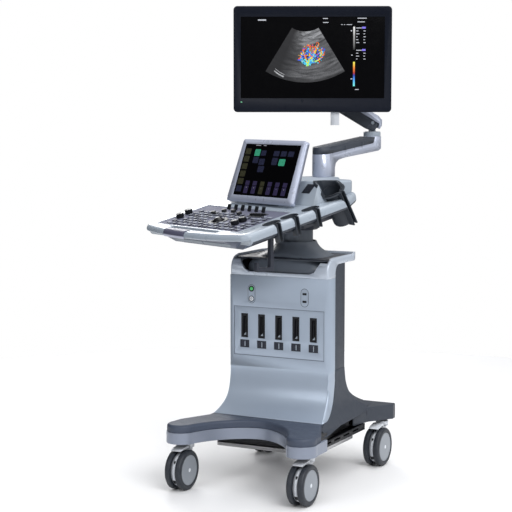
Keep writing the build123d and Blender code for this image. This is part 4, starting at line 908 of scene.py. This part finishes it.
def make_drawer_front():
    """Two light panels on the drawer's sloping front."""
    face = sloping_face(DECK, Vector((0, 24, -45)) * MM, Vector((0, 9, -20.8)) * MM, 0)
    shape = Shape()
    for x0, x1, x2, x3 in ((-84, 44, 44, -100), (50, 182, 190, 50)):
        outline = [(x0 * MM, 4 * MM), (x1 * MM, 4 * MM), (x2 * MM, 17 * MM), (x3 * MM, 17 * MM)]
        shape.prism(outline, -0.4 * MM, 0.9 * MM, face)
    shape.build("drawer_panels", ["panel_blue"], "drawer", "light_plastic", bevel=0.0004)


def make_dark_caps():
    """Four taller dark caps among the keys."""
    shape = Shape()
    profile = [(0.02, 1.6), (8.2, 1.6), (8.2, 8.0), (7.4, 9.4), (5.6, 10.0), (0.02, 10.0)]
    for u, v in ((-92, 173), (-70, 199), (-29, 205), (21, 189)):
        place = DECK @ Matrix.Translation((u * MM, v * MM, 0))
        shape.lathe([(r * MM, z * MM) for r, z in profile], place, 36)
    shape.build("dark_caps", ["black"], "keys", "key_plastic")


CUP_OUTER = 43 * MM
CUP_INNER = 35 * MM
CUP_SIDES = 64


def make_cup_surround():
    """Dark rubber surround that lies on the housing round the corner cup's mouth."""
    trees = []
    for name in ("rear_pod", "console_deck"):
        mesh = frame["nodes"][name].data
        points = [vertex.co for vertex in mesh.vertices]
        trees.append(BVHTree.FromPolygons(points, [polygon.vertices[:] for polygon in mesh.polygons]))
    inverse, down = CUP.inverted(), CUP.to_3x3() @ Vector((0, 0, -1))

    def height(x, y):
        """Height of the housing's surface over the cup's mouth, or of the cup's own rim."""
        best = 1.0 * MM
        for tree in trees:
            hit = tree.ray_cast(CUP @ Vector((x, y, 70 * MM)), down, 75 * MM)[0]
            if hit:
                best = max(best, (inverse @ hit).z)
        return best

    verts, faces = [], []
    for k in range(CUP_SIDES):
        c, s = cos(2 * pi * k / CUP_SIDES), sin(2 * pi * k / CUP_SIDES)
        outer, inner = height(CUP_OUTER * c, CUP_OUTER * s), height(CUP_INNER * c, CUP_INNER * s)
        for r, z in ((43, outer - 0.8 * MM), (42.4, outer + 0.8 * MM), (36, inner + 1.4 * MM),
                     (33.6, inner + 0.6 * MM), (32.6, inner - 1.0 * MM), (31.6, 2.0 * MM),
                     (34.4, 0.6 * MM), (36, inner - 1.5 * MM)):
            verts.append((r * MM * c, r * MM * s, z))
    for k in range(CUP_SIDES):
        a, b = 8 * k, 8 * ((k + 1) % CUP_SIDES)
        faces += [[a + m, b + m, b + (m + 1) % 8, a + (m + 1) % 8] for m in range(8)]
    shape = Shape()
    shape.add(verts, faces, CUP)
    shape.build("cup_surround", ["rubber"], "console", "dark_rubber")


def make_knob_details():
    """A knurled skirt and a pointer on each knob."""
    for i in range(4):
        name = "knob_%d" % (i + 1)
        joint = JOINTS["knob_turn_%d" % (i + 1)]
        place = local_frame(joint["pos_m"], CONSOLE_X, joint["axis"])
        shape = Shape()
        for k in range(28):
            turn = place @ Matrix.Rotation(2 * pi * k / 28, 4, "Z")
            shape.box(11.6 * MM, 12.35 * MM, -0.6 * MM, 0.6 * MM, 0.6 * MM, 10.4 * MM, turn, 0)
        shape.box(-0.6 * MM, 0.6 * MM, 4 * MM, 10.6 * MM, 12.8 * MM, 13.25 * MM, place, 1)
        shape.build(name + "_grip", ["black", "rail"], name, "black_plastic", smooth=False)


def make_ball_ring():
    """Flared ring round the trackball, whose centre lies below the deck."""
    centre = Vector(JOINTS["ball_roll"]["pos_m"]) - DECK.to_3x3() @ Vector((0, 0, -9 * MM))
    place = local_frame(centre, CONSOLE_X, DECK_NORMAL)
    shape = Shape()
    profile = [(20.5 * MM, -1.4 * MM), (33 * MM, -1.4 * MM), (32.6 * MM, 0.2 * MM), (30 * MM, 0.9 * MM),
               (26 * MM, 0.9 * MM), (22.4 * MM, -0.1 * MM), (20.6 * MM, -0.8 * MM)]
    shape.lathe(profile, place, 72)
    shape.build("ball_ring", ["black"], "console", "black_plastic")


def make_pod_vent():
    """Dark louvred vent on the right of the rear housing's front."""
    face = sloping_face(CONSOLE, Vector((0, -116, 872)) * MM, Vector((0, -90, 950)) * MM, 46 * MM)
    shape = Shape()
    outline = [(146 * MM, -4 * MM), (184 * MM, -4 * MM), (204 * MM, 26 * MM), (166 * MM, 26 * MM)]
    shape.prism(outline, -0.4 * MM, 0.5 * MM, face, 0)
    for k in range(6):
        y = (-1 + 4.8 * k) * MM
        shape.prism(rounded(33 * MM, 1.5 * MM, 0.7 * MM, 168 * MM + 0.67 * y, y, 2), 0.3 * MM, 1.1 * MM,
                    face, 1)
    shape.build("pod_vent", ["dark", "black"], "console", "black_plastic", smooth=False)


# ------------------------------------------------------------------ studio

FLOOR_RADIUS = 2.4
FLOOR_SIDES = 96
LIGHTS = [("key", (3.4, -2.6, 3.6), (0.1, 0.0, 0.8), 2.6, 130.0),
          ("front", (-0.8, -4.6, 2.8), (0.1, 0.0, 0.7), 2.4, 45.0),
          ("top", (0.2, 0.3, 4.4), (0.1, 0.0, 0.6), 3.0, 70.0),
          ("rim", (-2.6, 3.0, 2.6), (0.0, 0.0, 0.9), 1.6, 50.0)]
CAMERA_PLACE = Vector((2.09845, -4.3357, 1.1933))
CAMERA_TURN = (84.14, 0.0, 27.38)
LENS = 106.15


def make_stage():
    """Pale floor, soft lights and a bright surround."""
    mesh = bpy.data.meshes.new("floor")
    corners = [2 * pi * k / FLOOR_SIDES for k in range(FLOOR_SIDES)]
    rim = [(FLOOR_RADIUS * cos(a), FLOOR_RADIUS * sin(a), 0) for a in corners]
    mesh.from_pydata(rim, [], [list(range(FLOOR_SIDES))])
    floor = bpy.data.objects.new("floor", mesh)
    bpy.context.scene.collection.objects.link(floor)
    material, tree, shader = new_material("floor_paper")
    tone = remap(tree, noise(tree, 3.0, 3.0), 0.3, 0.7, 0.0, 1.0)
    paper = blend(tree, tone, (0.93, 0.93, 0.94, 1.0), (0.95, 0.95, 0.955, 1.0))
    fill(tree, shader, {"Base Color": paper, "Roughness": 0.6})
    mesh.materials.append(material)
    add_world()
    for light in LIGHTS:
        add_light(*light)


def add_world():
    """White for the camera, and a soft studio gradient, dimmer at the left, for the light."""
    world = bpy.data.worlds.new("studio")
    bpy.context.scene.world = world
    world.use_nodes = True
    tree = world.node_tree
    axes = add_node(tree, "ShaderNodeSeparateXYZ", {0: coordinates(tree, "Generated")})
    side = remap(tree, axes.outputs["X"], -0.9, 0.8, 0.06, 1.05)
    height = remap(tree, axes.outputs["Z"], 0.0, 0.9, 0.42, 1.15)
    light = calculate(tree, "MULTIPLY", side, height)
    tint = blend(tree, light, (0.0, 0.0, 0.0, 1.0), (0.97, 0.98, 1.0, 1.0))
    seen = add_node(tree, "ShaderNodeLightPath", {}).outputs["Is Camera Ray"]
    fill(tree, tree.nodes["Background"], {"Color": blend(tree, seen, tint, (1.0, 1.0, 1.0, 1.0)),
                                          "Strength": 1.0})


def add_light(name, place, target, size, power):
    """A square soft light that faces a point."""
    data = bpy.data.lights.new(name, "AREA")
    data.size = size
    data.energy = power
    lamp = bpy.data.objects.new(name, data)
    lamp.location = place
    lamp.rotation_euler = (Vector(target) - Vector(place)).to_track_quat("-Z", "Y").to_euler()
    bpy.context.scene.collection.objects.link(lamp)


def make_camera():
    """Long lens from the machine's front right, a little above the console, placed from the column."""
    data = bpy.data.cameras.new("camera")
    data.sensor_width = 36.0
    data.lens = LENS
    camera = bpy.data.objects.new("camera", data)
    camera.location = COLUMN @ CAMERA_PLACE
    camera.rotation_euler = [radians(angle) for angle in CAMERA_TURN]
    bpy.context.scene.collection.objects.link(camera)
    bpy.context.scene.camera = camera
    bpy.context.scene.view_settings.view_transform = "Standard"


make_camera()
make_stage()
dress_cad_nodes()
dress_details()
make_scan()
make_monitor_details()
make_touch_tiles()
make_front_details()
for tag in ("front_left", "front_right", "rear_left", "rear_right"):
    make_wheels(tag)
    make_caster_details(tag)
make_drawer_front()
make_knob_details()
make_ball_ring()
make_pod_vent()
make_dark_caps()
make_cup_surround()
